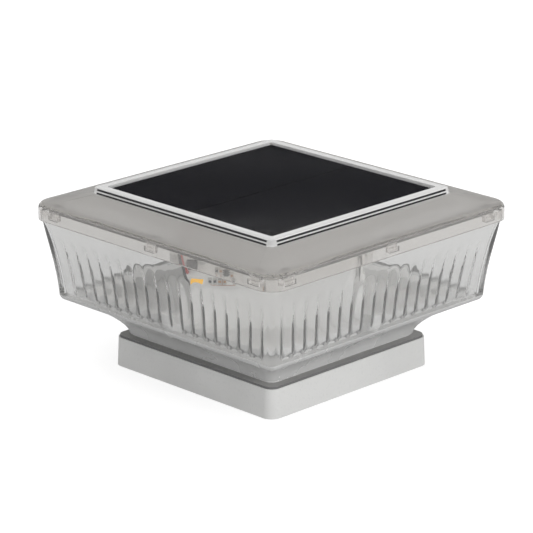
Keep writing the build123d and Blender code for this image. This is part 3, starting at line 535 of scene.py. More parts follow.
def cell_silicon(colour):
    """Solar cells: near-black, with faint crystal patches and hair-thin printed fingers."""
    material, tree, shader = new_material("cell_silicon")
    where = object_place(tree)
    split = place(tree, "ShaderNodeSeparateXYZ", Vector=where)
    crystal = place(tree, "ShaderNodeTexVoronoi", Vector=where, Scale=160.0)
    tone = blend(tree, ramp(tree, crystal.outputs["Distance"], 0.0, 0.8), colour, shade(colour, 1.2))
    across = calc(tree, "FRACT", calc(tree, "DIVIDE", split.outputs["Y"], FINGER_SPACING))
    finger = calc(tree, "LESS_THAN", calc(tree, "ABSOLUTE", calc(tree, "SUBTRACT", across, 0.5)), 0.03)
    tone = blend(tree, calc(tree, "MULTIPLY", finger, 0.02), tone, (0.5, 0.5, 0.5, 1.0))
    paint(tree, shader, tone, ramp(tree, noise(tree, where, 8 * MM, 3.0), 0.3, 0.7, 0.35, 0.5))
    fill(shader, Specular_IOR_Level=0.0)
    return material


def back_sheet_skin():
    """Black sheet behind the cells, with a fine weave."""
    material, tree, shader = new_material("back_sheet_skin")
    where = object_place(tree)
    weave = place(tree, "ShaderNodeTexChecker", Vector=where, Scale=1600.0).outputs["Fac"]
    tone = blend(tree, weave, (0.004, 0.004, 0.0045, 1.0), (0.007, 0.007, 0.0075, 1.0))
    paint(tree, shader, tone, ramp(tree, noise(tree, where, 5 * MM), 0.3, 0.7, 0.55, 0.7))
    fill(shader, Specular_IOR_Level=0.0)
    emboss(tree, shader, weave, 0.15, 0.03 * MM)
    return material


def laminate_film():
    """Clear film over the cells: anti-glare texture, so it reflects very little."""
    material, tree, shader = new_material("laminate_film")
    skin = use_group(tree, moulded_grain(), Grain=1500.0, Cloud=14.0)
    tone = blend(tree, skin.outputs["Cloud"], (0.90, 0.90, 0.91, 1.0), (0.94, 0.94, 0.95, 1.0))
    paint(tree, shader, tone, ramp(tree, skin.outputs["Cloud"], 0.3, 0.7, 0.2, 0.28))
    fill(shader, IOR=1.02, Transmission_Weight=1.0)
    emboss(tree, shader, skin.outputs["Height"], 0.1, 0.02 * MM)
    let_light_in(tree, shader, (0.95, 0.95, 0.95, 1.0))
    return material


def plated_metal(name, colour, gloss=0.3):
    """Plated steel: turning marks and duller patches."""
    material, tree, shader = new_material(name)
    where = object_place(tree)
    brushed = place(tree, "ShaderNodeMapping", Vector=where, Scale=(1.0, 1.0, 6.0)).outputs["Vector"]
    dull = noise(tree, where, 2.2 * MM, 4.0)
    tone = blend(tree, ramp(tree, dull, 0.35, 0.7), colour, shade(colour, 0.78))
    paint(tree, shader, tone, ramp(tree, dull, 0.3, 0.75, gloss - 0.08, gloss + 0.14))
    fill(shader, Metallic=1.0)
    emboss(tree, shader, noise(tree, brushed, 0.35 * MM, 3.0), 0.25, 0.02 * MM)
    return material


def board_mask():
    """White solder mask: even, faintly glossy, with glass cloth showing through."""
    material, tree, shader = new_material("board_mask")
    where = object_place(tree)
    turn = (0.0, 0.0, -BOARD_TURN)
    turned = place(tree, "ShaderNodeMapping", Vector=where, Rotation=turn).outputs["Vector"]
    cloth = place(tree, "ShaderNodeTexChecker", Vector=turned, Scale=1800.0).outputs["Fac"]
    cloud = noise(tree, where, 3 * MM, 3.0)
    tone = blend(tree, ramp(tree, cloud, 0.3, 0.7), (0.80, 0.79, 0.77, 1.0), (0.86, 0.86, 0.84, 1.0))
    tone = blend(tree, calc(tree, "MULTIPLY", cloth, 0.08), tone, (0.7, 0.69, 0.62, 1.0))
    paint(tree, shader, tone, ramp(tree, cloud, 0.3, 0.7, 0.32, 0.45))
    emboss(tree, shader, cloth, 0.1, 0.02 * MM)
    return material


def phosphor():
    """Yellow phosphor in clear resin, grainy, with a faint painted glow from a little emission of its own."""
    material, tree, shader = new_material("phosphor_resin")
    where = object_place(tree)
    grains = place(tree, "ShaderNodeTexVoronoi", Vector=where, Scale=5200.0).outputs["Distance"]
    tone = blend(tree, ramp(tree, grains, 0.1, 0.7), (0.95, 0.46, 0.0, 1.0), (1.0, 0.55, 0.004, 1.0))
    paint(tree, shader, tone, ramp(tree, noise(tree, where, 1 * MM), 0.3, 0.7, 0.25, 0.4))
    # Painted glow: a little emission, though the LED is not lit
    fill(shader, Emission_Color=(1.0, 0.5, 0.0, 1.0), Emission_Strength=0.35)
    emboss(tree, shader, grains, 0.2, 0.03 * MM)
    return material


def small_part(name, dark, light, grain=2600.0, gloss=0.5):
    """Body of a small electronic part or of a plain moulded fitting."""
    material, tree, shader = new_material(name)
    skin = use_group(tree, moulded_grain(), Grain=grain, Cloud=220.0)
    tone = blend(tree, ramp(tree, skin.outputs["Cloud"], 0.3, 0.7), dark, light)
    paint(tree, shader, tone, ramp(tree, skin.outputs["Speckle"], 0.0, 1.0, gloss, gloss + 0.15))
    emboss(tree, shader, skin.outputs["Height"], 0.2, 0.02 * MM)
    return material


def lead_insulation(name, colour):
    """Soft insulation of a thin lead: slightly waxy, with drag marks along it."""
    material, tree, shader = new_material(name)
    where = object_place(tree)
    drag = place(tree, "ShaderNodeMapping", Vector=where, Scale=(1.0, 1.0, 0.15)).outputs["Vector"]
    bloom = noise(tree, where, 3 * MM, 3.0)
    waxy = [min(1.0, part * 1.5 + 0.01) for part in colour[:3]] + [1.0]
    tone = blend(tree, ramp(tree, bloom, 0.4, 0.8), colour, waxy)
    paint(tree, shader, tone, ramp(tree, bloom, 0.3, 0.7, 0.32, 0.48))
    emboss(tree, shader, noise(tree, drag, 0.4 * MM, 3.0), 0.2, 0.02 * MM)
    return material


def cell_sleeve():
    """Shrink sleeve on the rechargeable cell, with bare metal at its ends."""
    material, tree, shader = new_material("cell_sleeve")
    where = object_place(tree)
    turn = (0.0, 0.0, -BOARD_TURN)
    turned = place(tree, "ShaderNodeMapping", Vector=where, Rotation=turn).outputs["Vector"]
    along = place(tree, "ShaderNodeSeparateXYZ", Vector=turned).outputs["X"]
    bare = calc(tree, "GREATER_THAN", calc(tree, "ABSOLUTE", along), SLEEVE_REACH)
    film = noise(tree, where, 5 * MM, 4.0)
    sleeve = blend(tree, ramp(tree, film, 0.3, 0.7), (0.10, 0.22, 0.34, 1.0), (0.13, 0.27, 0.40, 1.0))
    tone = blend(tree, bare, sleeve, (0.62, 0.62, 0.60, 1.0))
    paint(tree, shader, tone, ramp(tree, film, 0.3, 0.7, 0.22, 0.34))
    tree.links.new(bare, shader.inputs["Metallic"])
    emboss(tree, shader, film, 0.1, 0.05 * MM)
    return material


def dress(material, *names):
    """Puts a material on CAD nodes."""
    for name in names:
        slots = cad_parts[name].material_slots
        if not slots:
            raise RuntimeError(f"{name} has no material slot")
        for slot in slots:
            slot.material = material


# Meshes


def new_piece(name, mesh, body, slot, *nodes):
    """An object at the origin that rides on a body and stands for CAD nodes."""
    piece = bpy.data.objects.new(name, mesh)
    bpy.context.scene.collection.objects.link(piece)
    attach(piece, body)
    if nodes:
        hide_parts(*nodes)
    return piece


def merged_copy(node):
    """A copy of a CAD node's mesh as one closed skin."""
    skin = bmesh.new()
    skin.from_mesh(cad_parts[node].data)
    bmesh.ops.remove_doubles(skin, verts=skin.verts, dist=MERGE_DISTANCE)
    return skin


def finished_mesh(name, skin):
    """Turns a skin into a mesh with smooth faces and sharp edges where the surface turns."""
    mesh = bpy.data.meshes.new(name)
    skin.to_mesh(mesh)
    skin.free()
    tidy_shading(mesh)
    return mesh


def tidy_shading(mesh):
    """Smooth faces with sharp edges where the surface turns."""
    mesh.shade_smooth()
    mesh.set_sharp_from_angle(angle=SHARP_ANGLE)


def keep_flat(mesh):
    """Flat shading on faces square to an axis, so that clear walls don't bend what is behind them."""
    for face in mesh.polygons:
        if max(abs(part) for part in face.normal) > SQUARE_TO_AXIS:
            face.use_smooth = False


def rounded_square(side, corner, side_steps, corner_steps):
    """Points of a rounded square as (point, inward direction, share along its straight side or -1)."""
    points = []
    run = side / 2 - corner
    for quarter in range(4):
        turn = Matrix.Rotation(quarter * QUARTER_TURN, 3, "Z")
        inward = turn @ Vector((0, 1, 0))
        for step in range(side_steps):
            share = step / side_steps
            points.append((turn @ Vector((-run + 2 * run * share, -side / 2, 0)), inward, share))
        for step in range(corner_steps):
            angle = QUARTER_TURN * step / corner_steps
            away = Vector((math.sin(angle), -math.cos(angle), 0))
            share = 1.0 if step == 0 else -1.0
            points.append((turn @ (Vector((run, -run, 0)) + corner * away), turn @ -away, share))
    return points


def flare(rise):
    """Share of the bowl's widening that is reached at a share of its height."""
    return (1 - FLARE_BIAS) * rise + FLARE_BIAS * rise**2


def rounded_edge(side, corner, height, radius):
    """Outlines round a lower outer edge, from the underside to the side."""
    rings = []
    for step in range(ROUND_STEPS + 1):
        angle = QUARTER_TURN * step / ROUND_STEPS
        pull = radius * (1 - math.sin(angle))
        turned = max(SHARPEST_CORNER, corner - pull)
        rings.append((side - 2 * pull, turned, height + radius * (1 - math.cos(angle)), 0.0))
    return rings


def base_rings(side, corner, top):
    """Outlines of the curved base that narrows from the bowl's lower edge to just above the plinth's seal."""
    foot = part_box("plinth_seal")[1].z + BASE_GAP
    well_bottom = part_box("light_box")[0].z - WELL_FLOOR
    rings = [
        (NECK_HOLE, NECK_INNER_CORNER, well_bottom - WELL_GAP, 0.0),
        (BASE_HOLE, BASE_CORNER, well_bottom - 2 * WELL_GAP, 0.0),
        (BASE_HOLE, BASE_CORNER, foot, 0.0),
    ]
    for step in range(BASE_STEPS):
        drop = 1 - step / BASE_STEPS
        narrowing = 1 - (1 - drop) ** BASE_CURVE
        outer_corner = corner + (BASE_CORNER - corner) * drop
        rings.append((side + (BASE_SIDE - side) * narrowing, outer_corner, top + (foot - top) * drop, 0.0))
    return rings


def outer_wall_rings(start, end, rim_side):
    """Outlines of the bowl's flared outside, from its rounded lower edge up to the cover's skirt."""
    rings = []
    for step in range(WALL_STEPS + 1):
        rise = step / WALL_STEPS
        side = BOWL_BOTTOM_SIDE + (rim_side - BOWL_BOTTOM_SIDE) * flare(rise)
        corner = BOWL_CORNER + (BOWL_RIM_CORNER - BOWL_CORNER) * rise**BOWL_CORNER_BIAS
        rings.append((side, corner, start + (end - start) * rise, 0.0))
    return rings


def rim_rings(rim_side, top, flute_top):
    """Outlines over the bowl's upright rim, from its outside to the top of the flutes."""
    inner_side = rim_side - 2 * BOWL_WALL
    inner_corner = BOWL_RIM_CORNER - BOWL_WALL
    return [
        (rim_side, BOWL_RIM_CORNER, top - RIM_EDGE, 0.0),
        (rim_side - 2 * RIM_EDGE, BOWL_RIM_CORNER - RIM_EDGE, top, 0.0),
        (inner_side + 2 * RIM_EDGE, inner_corner + RIM_EDGE, top, 0.0),
        (inner_side, inner_corner, top - RIM_EDGE, 0.0),
        (inner_side, inner_corner, flute_top, 0.0),
    ]


def fluted_wall_rings(start, end, rim_side):
    """Outlines of the bowl's inside from the top down. Each flute has a round end and runs out upward."""
    rings = []
    for step in range(FLUTE_ROWS, -1, -1):
        rise = (step / FLUTE_ROWS) ** FLUTE_ROW_BIAS
        height = start + (end - start) * rise
        side = BOWL_BOTTOM_SIDE - 2 * BOWL_WALL + (rim_side - BOWL_BOTTOM_SIDE) * flare(rise)
        from_end = min(1.0, (height - start) / FLUTE_END)
        rounded_end = math.sqrt(1 - (1 - from_end) ** 2)
        rounded_top = max(0.0, 1 - (rise / FLUTE_TOP_SHARE) ** 2) ** FLUTE_TOP_CURVE
        rings.append((side, FLUTE_CORNER, height, rounded_end * rounded_top))
    return rings


def bowl_rings():
    """Outlines of the bowl as (side, corner, height, share of the flute's depth), once round its section."""
    low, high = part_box("bowl")
    rim_side = 2 * high.x
    floor_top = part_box("tray_seal")[0].z
    rim_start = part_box("cover")[0].z
    flute_top = rim_start - FLUTE_STOP
    bottom = low.z + NECK_HEIGHT
    wall_start = bottom + BOWL_BOTTOM_ROUND + BOWL_ROUND_MARGIN
    edge = rounded_edge(BOWL_BOTTOM_SIDE, BOWL_CORNER, bottom, BOWL_BOTTOM_ROUND)
    rings = base_rings(*edge[0][:3]) + edge
    rings += outer_wall_rings(wall_start, rim_start, rim_side)
    rings += rim_rings(rim_side, high.z, flute_top)
    rings += fluted_wall_rings(wall_start, flute_top, rim_side)
    rings.append((BOWL_BOTTOM_SIDE - 2 * BOWL_WALL, FLUTE_CORNER, floor_top, 0.0))
    rings.append((NECK_HOLE, NECK_INNER_CORNER, floor_top, 0.0))
    return rings


def bowl_blank(flutes):
    """The bowl before it is reeded, with the place of each point along its side kept as attributes."""
    side_steps = FLUTE_STEPS * flutes
    rings = bowl_rings()
    count = 4 * (side_steps + ROUND_STEPS)
    points, inward, shares, runs, strengths = [], [], [], [], []
    for side, corner, height, depth_share in rings:
        for point, direction, share in rounded_square(side, corner, side_steps, ROUND_STEPS):
            points.append((point.x, point.y, height))
            inward.extend(direction)
            shares.append(share)
            strengths.append(depth_share if share >= 0 else 0.0)
            runs.append(side / 2 - corner)
    faces = []
    for ring in range(len(rings)):
        this, following = ring * count, (ring + 1) % len(rings) * count
        for step in range(count):
            ahead = (step + 1) % count
            faces.append((this + step, this + ahead, following + ahead, following + step))
    mesh = bpy.data.meshes.new("bowl_blank")
    mesh.from_pydata(points, [], faces)
    for name, values in (("flute_share", shares), ("flute_strength", strengths), ("flute_run", runs)):
        mesh.attributes.new(name, "FLOAT", "POINT").data.foreach_set("value", values)
    mesh.attributes.new("flute_inward", "FLOAT_VECTOR", "POINT").data.foreach_set("vector", inward)
    return mesh


# Geometry trees


def attribute(tree, name, kind="FLOAT"):
    """Reads a named attribute in a geometry tree."""
    node = place(tree, "GeometryNodeInputNamedAttribute", {"data_type": kind}, Name=name)
    return node.outputs["Attribute"]


def new_geometry_tree(name, inputs):
    """An empty geometry tree with a Geometry input and output and further named inputs."""
    tree = bpy.data.node_groups.new(name, "GeometryNodeTree")
    tree.interface.new_socket(name="Geometry", in_out="INPUT", socket_type="NodeSocketGeometry")
    for label, kind, default in inputs:
        socket = tree.interface.new_socket(name=label, in_out="INPUT", socket_type=kind)
        if default is not None:
            socket.default_value = default
    tree.interface.new_socket(name="Geometry", in_out="OUTPUT", socket_type="NodeSocketGeometry")
    return tree, tree.nodes.new("NodeGroupInput").outputs, tree.nodes.new("NodeGroupOutput").inputs


def reeding_tree():
    """Pushes each flute of the bowl inward along a circular arc, and gives the base its own material."""
    tree, given, result = new_geometry_tree(
        "reeding",
        [
            ("Flutes", "NodeSocketInt", 18),
            ("Depth", "NodeSocketFloat", 1.3 * MM),
            ("Base height", "NodeSocketFloat", 34.0 * MM),
            ("Material", "NodeSocketMaterial", None),
            ("Base material", "NodeSocketMaterial", None),
        ],
    )
    strength = attribute(tree, "flute_strength")
    depth = calc(tree, "MAXIMUM", calc(tree, "MULTIPLY", given["Depth"], strength), SHALLOWEST_FLUTE)
    fluted = calc(tree, "GREATER_THAN", strength, 0.0)
    along = calc(tree, "FRACT", calc(tree, "MULTIPLY", attribute(tree, "flute_share"), given["Flutes"]))
    half = calc(tree, "DIVIDE", attribute(tree, "flute_run"), given["Flutes"])
    from_middle = calc(tree, "MULTIPLY", calc(tree, "MULTIPLY_ADD", along, 2.0, -1.0), half)
    squares = calc(tree, "MULTIPLY_ADD", half, half, calc(tree, "MULTIPLY", depth, depth))
    radius = calc(tree, "DIVIDE", squares, calc(tree, "MULTIPLY", depth, 2.0))
    rest = calc(
        tree,
        "SUBTRACT",
        calc(tree, "MULTIPLY", radius, radius),
        calc(tree, "MULTIPLY", from_middle, from_middle),
    )
    rise = calc(tree, "SUBTRACT", calc(tree, "SQRT", rest), calc(tree, "SUBTRACT", radius, depth))
    direction = attribute(tree, "flute_inward", "FLOAT_VECTOR")
    push = place(tree, "ShaderNodeVectorMath", {"operation": "SCALE"}, Vector=direction)
    tree.links.new(calc(tree, "MULTIPLY", rise, fluted), push.inputs["Scale"])
    moved = place(tree, "GeometryNodeSetPosition", Geometry=given["Geometry"], Offset=push.outputs["Vector"])
    real = place(tree, "GeometryNodeRealizeInstances", Geometry=moved.outputs["Geometry"])
    walls = place(
        tree, "GeometryNodeSetMaterial", Geometry=real.outputs["Geometry"], Material=given["Material"]
    )
    position = tree.nodes.new("GeometryNodeInputPosition").outputs["Position"]
    height = place(tree, "ShaderNodeSeparateXYZ", Vector=position).outputs["Z"]
    done = place(
        tree,
        "GeometryNodeSetMaterial",
        Geometry=walls.outputs["Geometry"],
        Selection=calc(tree, "LESS_THAN", height, given["Base height"]),
        Material=given["Base material"],
    )
    tree.links.new(done.outputs["Geometry"], result["Geometry"])
    return tree


def joined(tree, parts):
    """Three values or links as one vector."""
    return place(tree, "ShaderNodeCombineXYZ", i0=parts[0], i1=parts[1], i2=parts[2]).outputs["Vector"]


def block(tree, size, offset):
    """A box of the given size, moved by the given offset, both as three values or links."""
    cube = place(tree, "GeometryNodeMeshCube", Size=joined(tree, size)).outputs["Mesh"]
    moved = place(tree, "GeometryNodeTransform", Geometry=cube, Translation=joined(tree, offset))
    return moved.outputs["Geometry"]


def chip_parts_tree():
    """Stands a chip part on each point: a ceramic body, two plated end caps and a solder pad under each."""
    tree, given, result = new_geometry_tree(
        "chip parts",
        [
            ("Width", "NodeSocketFloat", 1.25 * MM),
            ("Length", "NodeSocketFloat", 2.0 * MM),
            ("Depth", "NodeSocketFloat", 0.6 * MM),
            ("Cap", "NodeSocketFloat", CAP_LENGTH),
            ("Turn", "NodeSocketVector", None),
            ("Material", "NodeSocketMaterial", None),
            ("Plating", "NodeSocketMaterial", None),
        ],
    )
    slim = calc(tree, "MULTIPLY", given["Width"], BODY_WIDTH_SHARE)
    low = calc(tree, "MULTIPLY", given["Depth"], BODY_DEPTH_SHARE)
    inner = calc(tree, "MULTIPLY_ADD", given["Cap"], -CAPS_UNCOVERED, given["Length"])
    body = block(tree, (slim, low, inner), (0.0, 0.0, 0.0))
    plated = place(tree, "GeometryNodeJoinGeometry")
    for end in (-0.5, 0.5):
        middle = calc(tree, "MULTIPLY", calc(tree, "SUBTRACT", given["Length"], given["Cap"]), end)
        cap = block(tree, (given["Width"], given["Depth"], given["Cap"]), (0.0, 0.0, middle))
        pad_width = calc(tree, "MULTIPLY", given["Width"], PAD_WIDTH_SHARE)
        pad_middle = calc(tree, "MULTIPLY", given["Length"], end * PAD_REACH_SHARE)
        seat = calc(tree, "MULTIPLY_ADD", given["Depth"], 0.5, -TRACE_THICKNESS / 2)
        pad = block(tree, (pad_width, TRACE_THICKNESS, PAD_LENGTH), (0.0, seat, pad_middle))
        tree.links.new(cap, plated.inputs["Geometry"])
        tree.links.new(pad, plated.inputs["Geometry"])
    marked = place(
        tree,
        "GeometryNodeStoreNamedAttribute",
        {"data_type": "BOOLEAN", "domain": "FACE"},
        Geometry=plated.outputs["Geometry"],
        Name="plated",
        Value=True,
    )
    whole = place(tree, "GeometryNodeJoinGeometry")
    tree.links.new(body, whole.inputs["Geometry"])
    tree.links.new(marked.outputs["Geometry"], whole.inputs["Geometry"])
    turn = place(tree, "FunctionNodeEulerToRotation", Euler=given["Turn"]).outputs["Rotation"]
    stood = place(
        tree,
        "GeometryNodeInstanceOnPoints",
        Points=given["Geometry"],
        Instance=whole.outputs["Geometry"],
        Rotation=turn,
    )
    real = place(tree, "GeometryNodeRealizeInstances", Geometry=stood.outputs["Instances"])
    ceramic = place(
        tree, "GeometryNodeSetMaterial", Geometry=real.outputs["Geometry"], Material=given["Material"]
    )
    done = place(
        tree,
        "GeometryNodeSetMaterial",
        Geometry=ceramic.outputs["Geometry"],
        Selection=attribute(tree, "plated", "BOOLEAN"),
        Material=given["Plating"],
    )
    tree.links.new(done.outputs["Geometry"], result["Geometry"])
    return tree


def traces_tree():
    """Gives each line a flat copper section."""
    tree, given, result = new_geometry_tree(
        "traces",
        [
            ("Width", "NodeSocketFloat", TRACE_WIDTH),
            ("Thickness", "NodeSocketFloat", TRACE_THICKNESS),
            ("Material", "NodeSocketMaterial", None),
        ],
    )
    line = place(tree, "GeometryNodeMeshToCurve", Mesh=given["Geometry"]).outputs["Curve"]
    facing = place(tree, "GeometryNodeSetCurveNormal", {"mode": "FREE"}, Curve=line, Normal=OUTWARD)
    section = place(
        tree, "GeometryNodeCurvePrimitiveCircle", {"mode": "RADIUS"}, Resolution=TRACE_SIDES, Radius=1.0
    )
    half_width = calc(tree, "MULTIPLY", given["Width"], 0.5)
    flat = place(
        tree,
        "GeometryNodeTransform",
        Geometry=section.outputs["Curve"],
        Scale=joined(tree, (given["Thickness"], half_width, 1.0)),
    )
    strip = place(
        tree,
        "GeometryNodeCurveToMesh",
        Curve=facing.outputs["Curve"],
        Profile_Curve=flat.outputs["Geometry"],
        Fill_Caps=True,
    )
    real = place(tree, "GeometryNodeRealizeInstances", Geometry=strip.outputs["Mesh"])
    done = place(
        tree, "GeometryNodeSetMaterial", Geometry=real.outputs["Geometry"], Material=given["Material"]
    )
    tree.links.new(done.outputs["Geometry"], result["Geometry"])
    return tree


def evaluated_mesh(worker, name):
    """The plain mesh that an object's modifiers make. The object is removed."""
    bpy.context.scene.collection.objects.link(worker)
    bpy.context.view_layer.update()
    made = bpy.data.meshes.new_from_object(worker.evaluated_get(bpy.context.evaluated_depsgraph_get()))
    worker.modifiers.clear()
    bpy.data.objects.remove(worker)
    made.name = name
    if not made.polygons:
        raise RuntimeError(f"{name} came out empty")
    return made


def grown_mesh(name, blank, tree, **values):
    """Runs a geometry tree on a blank mesh for a plain mesh. An input's spaces are written as _."""
    worker = bpy.data.objects.new(name + "_worker", blank)
    modifier = worker.modifiers.new(name, "NODES")
    modifier.node_group = tree
    for item in tree.interface.items_tree:
        key = item.name.replace(" ", "_")
        if item.in_out == "INPUT" and key in values:
            modifier[item.identifier] = values[key]
    return evaluated_mesh(worker, name)


def even_normals(mesh):
    """Keeps large flat faces flat next to small rounds."""
    worker = bpy.data.objects.new("normals_worker", mesh)
    modifier = worker.modifiers.new("even normals", "WEIGHTED_NORMAL")
    modifier.keep_sharp = True
    return evaluated_mesh(worker, mesh.name)


def cut(mesh, boxes, holes):
    """Takes boxes as (place, size, turn) and upright holes as (place, radius, length) out of a mesh."""
    tool = bmesh.new()
    for where, size, turn in boxes:
        matrix = Matrix.Rotation(turn, 4, "Z") @ Matrix.Translation(where) @ Matrix.Diagonal((*size, 1.0))
        bmesh.ops.create_cube(tool, size=1.0, matrix=matrix)
    for where, radius, length in holes:
        bmesh.ops.create_cone(
            tool,
            cap_ends=True,
            segments=HOLE_SEGMENTS,
            radius1=radius,
            radius2=radius,
            depth=length,
            matrix=Matrix.Translation(where),
        )
    cutter = bpy.data.objects.new("cutter", finished_mesh("cutter", tool))
    bpy.context.scene.collection.objects.link(cutter)
    worker = bpy.data.objects.new("cut_worker", mesh)
    modifier = worker.modifiers.new("cut", "BOOLEAN")
    modifier.operation = "DIFFERENCE"
    modifier.solver = "EXACT"
    modifier.object = cutter
    made = evaluated_mesh(worker, mesh.name)
    bpy.data.objects.remove(cutter)
    return made


def solids_of(node):
    """Middle of each separate solid of a CAD node on the main board, and its size along it, out and up."""
    skin = merged_copy(node)
    left = set(skin.verts)
    found = []
    while left:
        group = [left.pop()]
        for vert in group:
            for edge in vert.link_edges:
                other = edge.other_vert(vert)
                if other in left:
                    left.remove(other)
                    group.append(other)
        spans = []
        for axis in (ALONG, OUTWARD, UPWARD):
            reach = [vert.co.dot(axis) for vert in group]
            spans.append((min(reach), max(reach)))
        middle = sum((axis * sum(span) / 2 for axis, span in zip((ALONG, OUTWARD, UPWARD), spans)), Vector())
        found.append((middle, [high - low for low, high in spans]))
    skin.free()
    return sorted(found, key=lambda solid: tuple(solid[0]))


def lines_mesh(name, lines):
    """A mesh of loose edges along lists of points."""
    points, edges = [], []
    for line in lines:
        edges += [(len(points) + step, len(points) + step + 1) for step in range(len(line) - 1)]
        points += line
    mesh = bpy.data.meshes.new(name)
    mesh.from_pydata(points, edges, [])
    return mesh


# Operators


class PILLARLIGHT_OT_stage(bpy.types.Operator):
    """White floor and backdrop, soft studio light, and the camera in front of one corner"""

    bl_idname = "pillar_light.stage"
    bl_label = "Stage"

    def execute(self, context):
        scene = context.scene
        sizes = scene.pillar_light_sizes
        scene.view_settings.view_transform = "Standard"
        self.world(scene)
        self.floor(scene)
        self.lamp(scene, "key_lamp", KEY_LAMP_PLACE, KEY_LAMP_SIZE, KEY_LAMP_POWER)
        self.lamp(scene, "top_lamp", TOP_LAMP_PLACE, TOP_LAMP_SIZE, TOP_LAMP_POWER)
        camera = bpy.data.objects.new("camera", bpy.data.cameras.new("camera"))
        scene.collection.objects.link(camera)
        camera.data.sensor_width = SENSOR_WIDTH
        camera.data.lens = SENSOR_WIDTH * PHOTO_FOCAL / PHOTO_SIDE
        camera.data.clip_start = NEAREST_SEEN
        camera.data.clip_end = FARTHEST_SEEN
        towards = -OUTWARD * math.cos(sizes.camera_height) - UPWARD * math.sin(sizes.camera_height)
        camera.location = UPWARD * AIM_HEIGHT - ALONG * AIM_LEFT - sizes.camera_distance * towards
        camera.rotation_euler = towards.to_track_quat("-Z", "Y").to_euler()
        scene.camera = camera
        return {"FINISHED"}

    def seen(self, tree, direct, through, lighting):
        """A value for rays from the camera, one for rays bent by a clear piece, and one for the rest."""
        path = tree.nodes.new("ShaderNodeLightPath").outputs
        bent = calc(tree, "MAXIMUM", path["Is Glossy Ray"], path["Is Transmission Ray"])
        rest = place(tree, "ShaderNodeMapRange", Value=bent, To_Min=lighting, To_Max=through)
        whole = place(
            tree,
            "ShaderNodeMapRange",
            Value=path["Is Camera Ray"],
            To_Min=rest.outputs["Result"],
            To_Max=direct,
        )
        return whole.outputs["Result"]

    def world(self, scene):
        """White where it is seen, and a plain even light for everything else."""
        scene.world = bpy.data.worlds.new("studio")
        scene.world.use_nodes = True
        tree = scene.world.node_tree
        background = tree.nodes["Background"]
        background.inputs["Color"].default_value = (1, 1, 1, 1)
        strength = self.seen(tree, direct=1.0, through=0.61, lighting=0.8)
        tree.links.new(strength, background.inputs["Strength"])

    def floor(self, scene):
        """A floor that is white where it is lit and keeps a faint shadow."""
        plan = bmesh.new()
        bmesh.ops.create_grid(plan, x_segments=8, y_segments=8, size=FLOOR_REACH)
        mesh = finished_mesh("floor", plan)
        floor = bpy.data.objects.new("floor", mesh)
        floor.location.z = -FLOOR_DROP
        scene.collection.objects.link(floor)
        material, tree, shader = new_material("studio_floor")
        fill(shader, Roughness=0.9, Specular_IOR_Level=0.0, Emission_Color=(1, 1, 1, 1))
        tone = self.seen(tree, direct=0.4, through=0.4, lighting=0.5)
        glow = self.seen(tree, direct=0.72, through=0.31, lighting=0.0)
        tree.links.new(tone, shader.inputs["Base Color"])
        tree.links.new(glow, shader.inputs["Emission Strength"])
        mesh.materials.append(material)

    def lamp(self, scene, name, where, size, power):
        """A large soft lamp, turned to the middle of the light."""
        light = bpy.data.lights.new(name, "AREA")
        light.shape = "DISK"
        light.size = size
        light.energy = power
        lamp = bpy.data.objects.new(name, light)
        lamp.location = where
        lamp.rotation_euler = (UPWARD * AIM_HEIGHT - Vector(where)).to_track_quat("-Z", "Y").to_euler()
        lamp.visible_camera = False
        lamp.visible_glossy = False
        lamp.visible_transmission = False
        scene.collection.objects.link(lamp)


class PILLARLIGHT_OT_housing(bpy.types.Operator):
    """Moulded finish of the plinth, the floor tray and their seals"""

    bl_idname = "pillar_light.housing"
    bl_label = "Plinth, tray and seals"

    def execute(self, context):
        colours = context.scene.pillar_light_colours
        low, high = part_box("plinth_seal")
        dress(moulding("plinth_moulding", colours.housing, 0.0, low.z), "plinth")
        tray_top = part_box("tray_seal")[1].z
        dress(moulding("tray_moulding", colours.tray, high.z, tray_top, 1100.0, 0.5), "tray")
        dress(rubber("seal_rubber", colours.seal), "plinth_seal", "tray_seal")
        dress(silicone(), "cover_seal", "panel_sealant")
        return {"FINISHED"}


class PILLARLIGHT_OT_bowl(bpy.types.Operator):
    """Clear bowl with reeded walls, a curved base, hook windows and screw holes"""

    bl_idname = "pillar_light.bowl"
    bl_label = "Reeded bowl"

    def execute(self, context):
        sizes = context.scene.pillar_light_sizes
        floor_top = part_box("tray_seal")[0].z
        mesh = grown_mesh(
            "reeded_bowl",
            bowl_blank(sizes.flutes_per_side),
            reeding_tree(),
            Flutes=sizes.flutes_per_side,
            Depth=sizes.flute_depth,
            Base_height=floor_top + BOWL_WALL / 2,
            Material=clear_bowl_plastic(),
            Base_material=satin_base_plastic(),
        )
        windows, holes = [], []
        for quarter in range(4):
            turn = quarter * QUARTER_TURN
            windows += [(Vector((across, *WINDOW_MIDDLE)), WINDOW_SIZE, turn) for across in HOOK_PLACES]
            where = Matrix.Rotation(turn, 3, "Z") @ Vector((TRAY_SCREW_REACH, 0, 0)) + UPWARD * floor_top
            holes.append((where, TRAY_SCREW_HOLE, 3 * BOWL_WALL))
        mesh = cut(mesh, windows, holes)
        tidy_shading(mesh)
        keep_flat(mesh)
        new_piece("reeded_bowl", mesh, "head", "clear_plastic", "bowl")
        return {"FINISHED"}


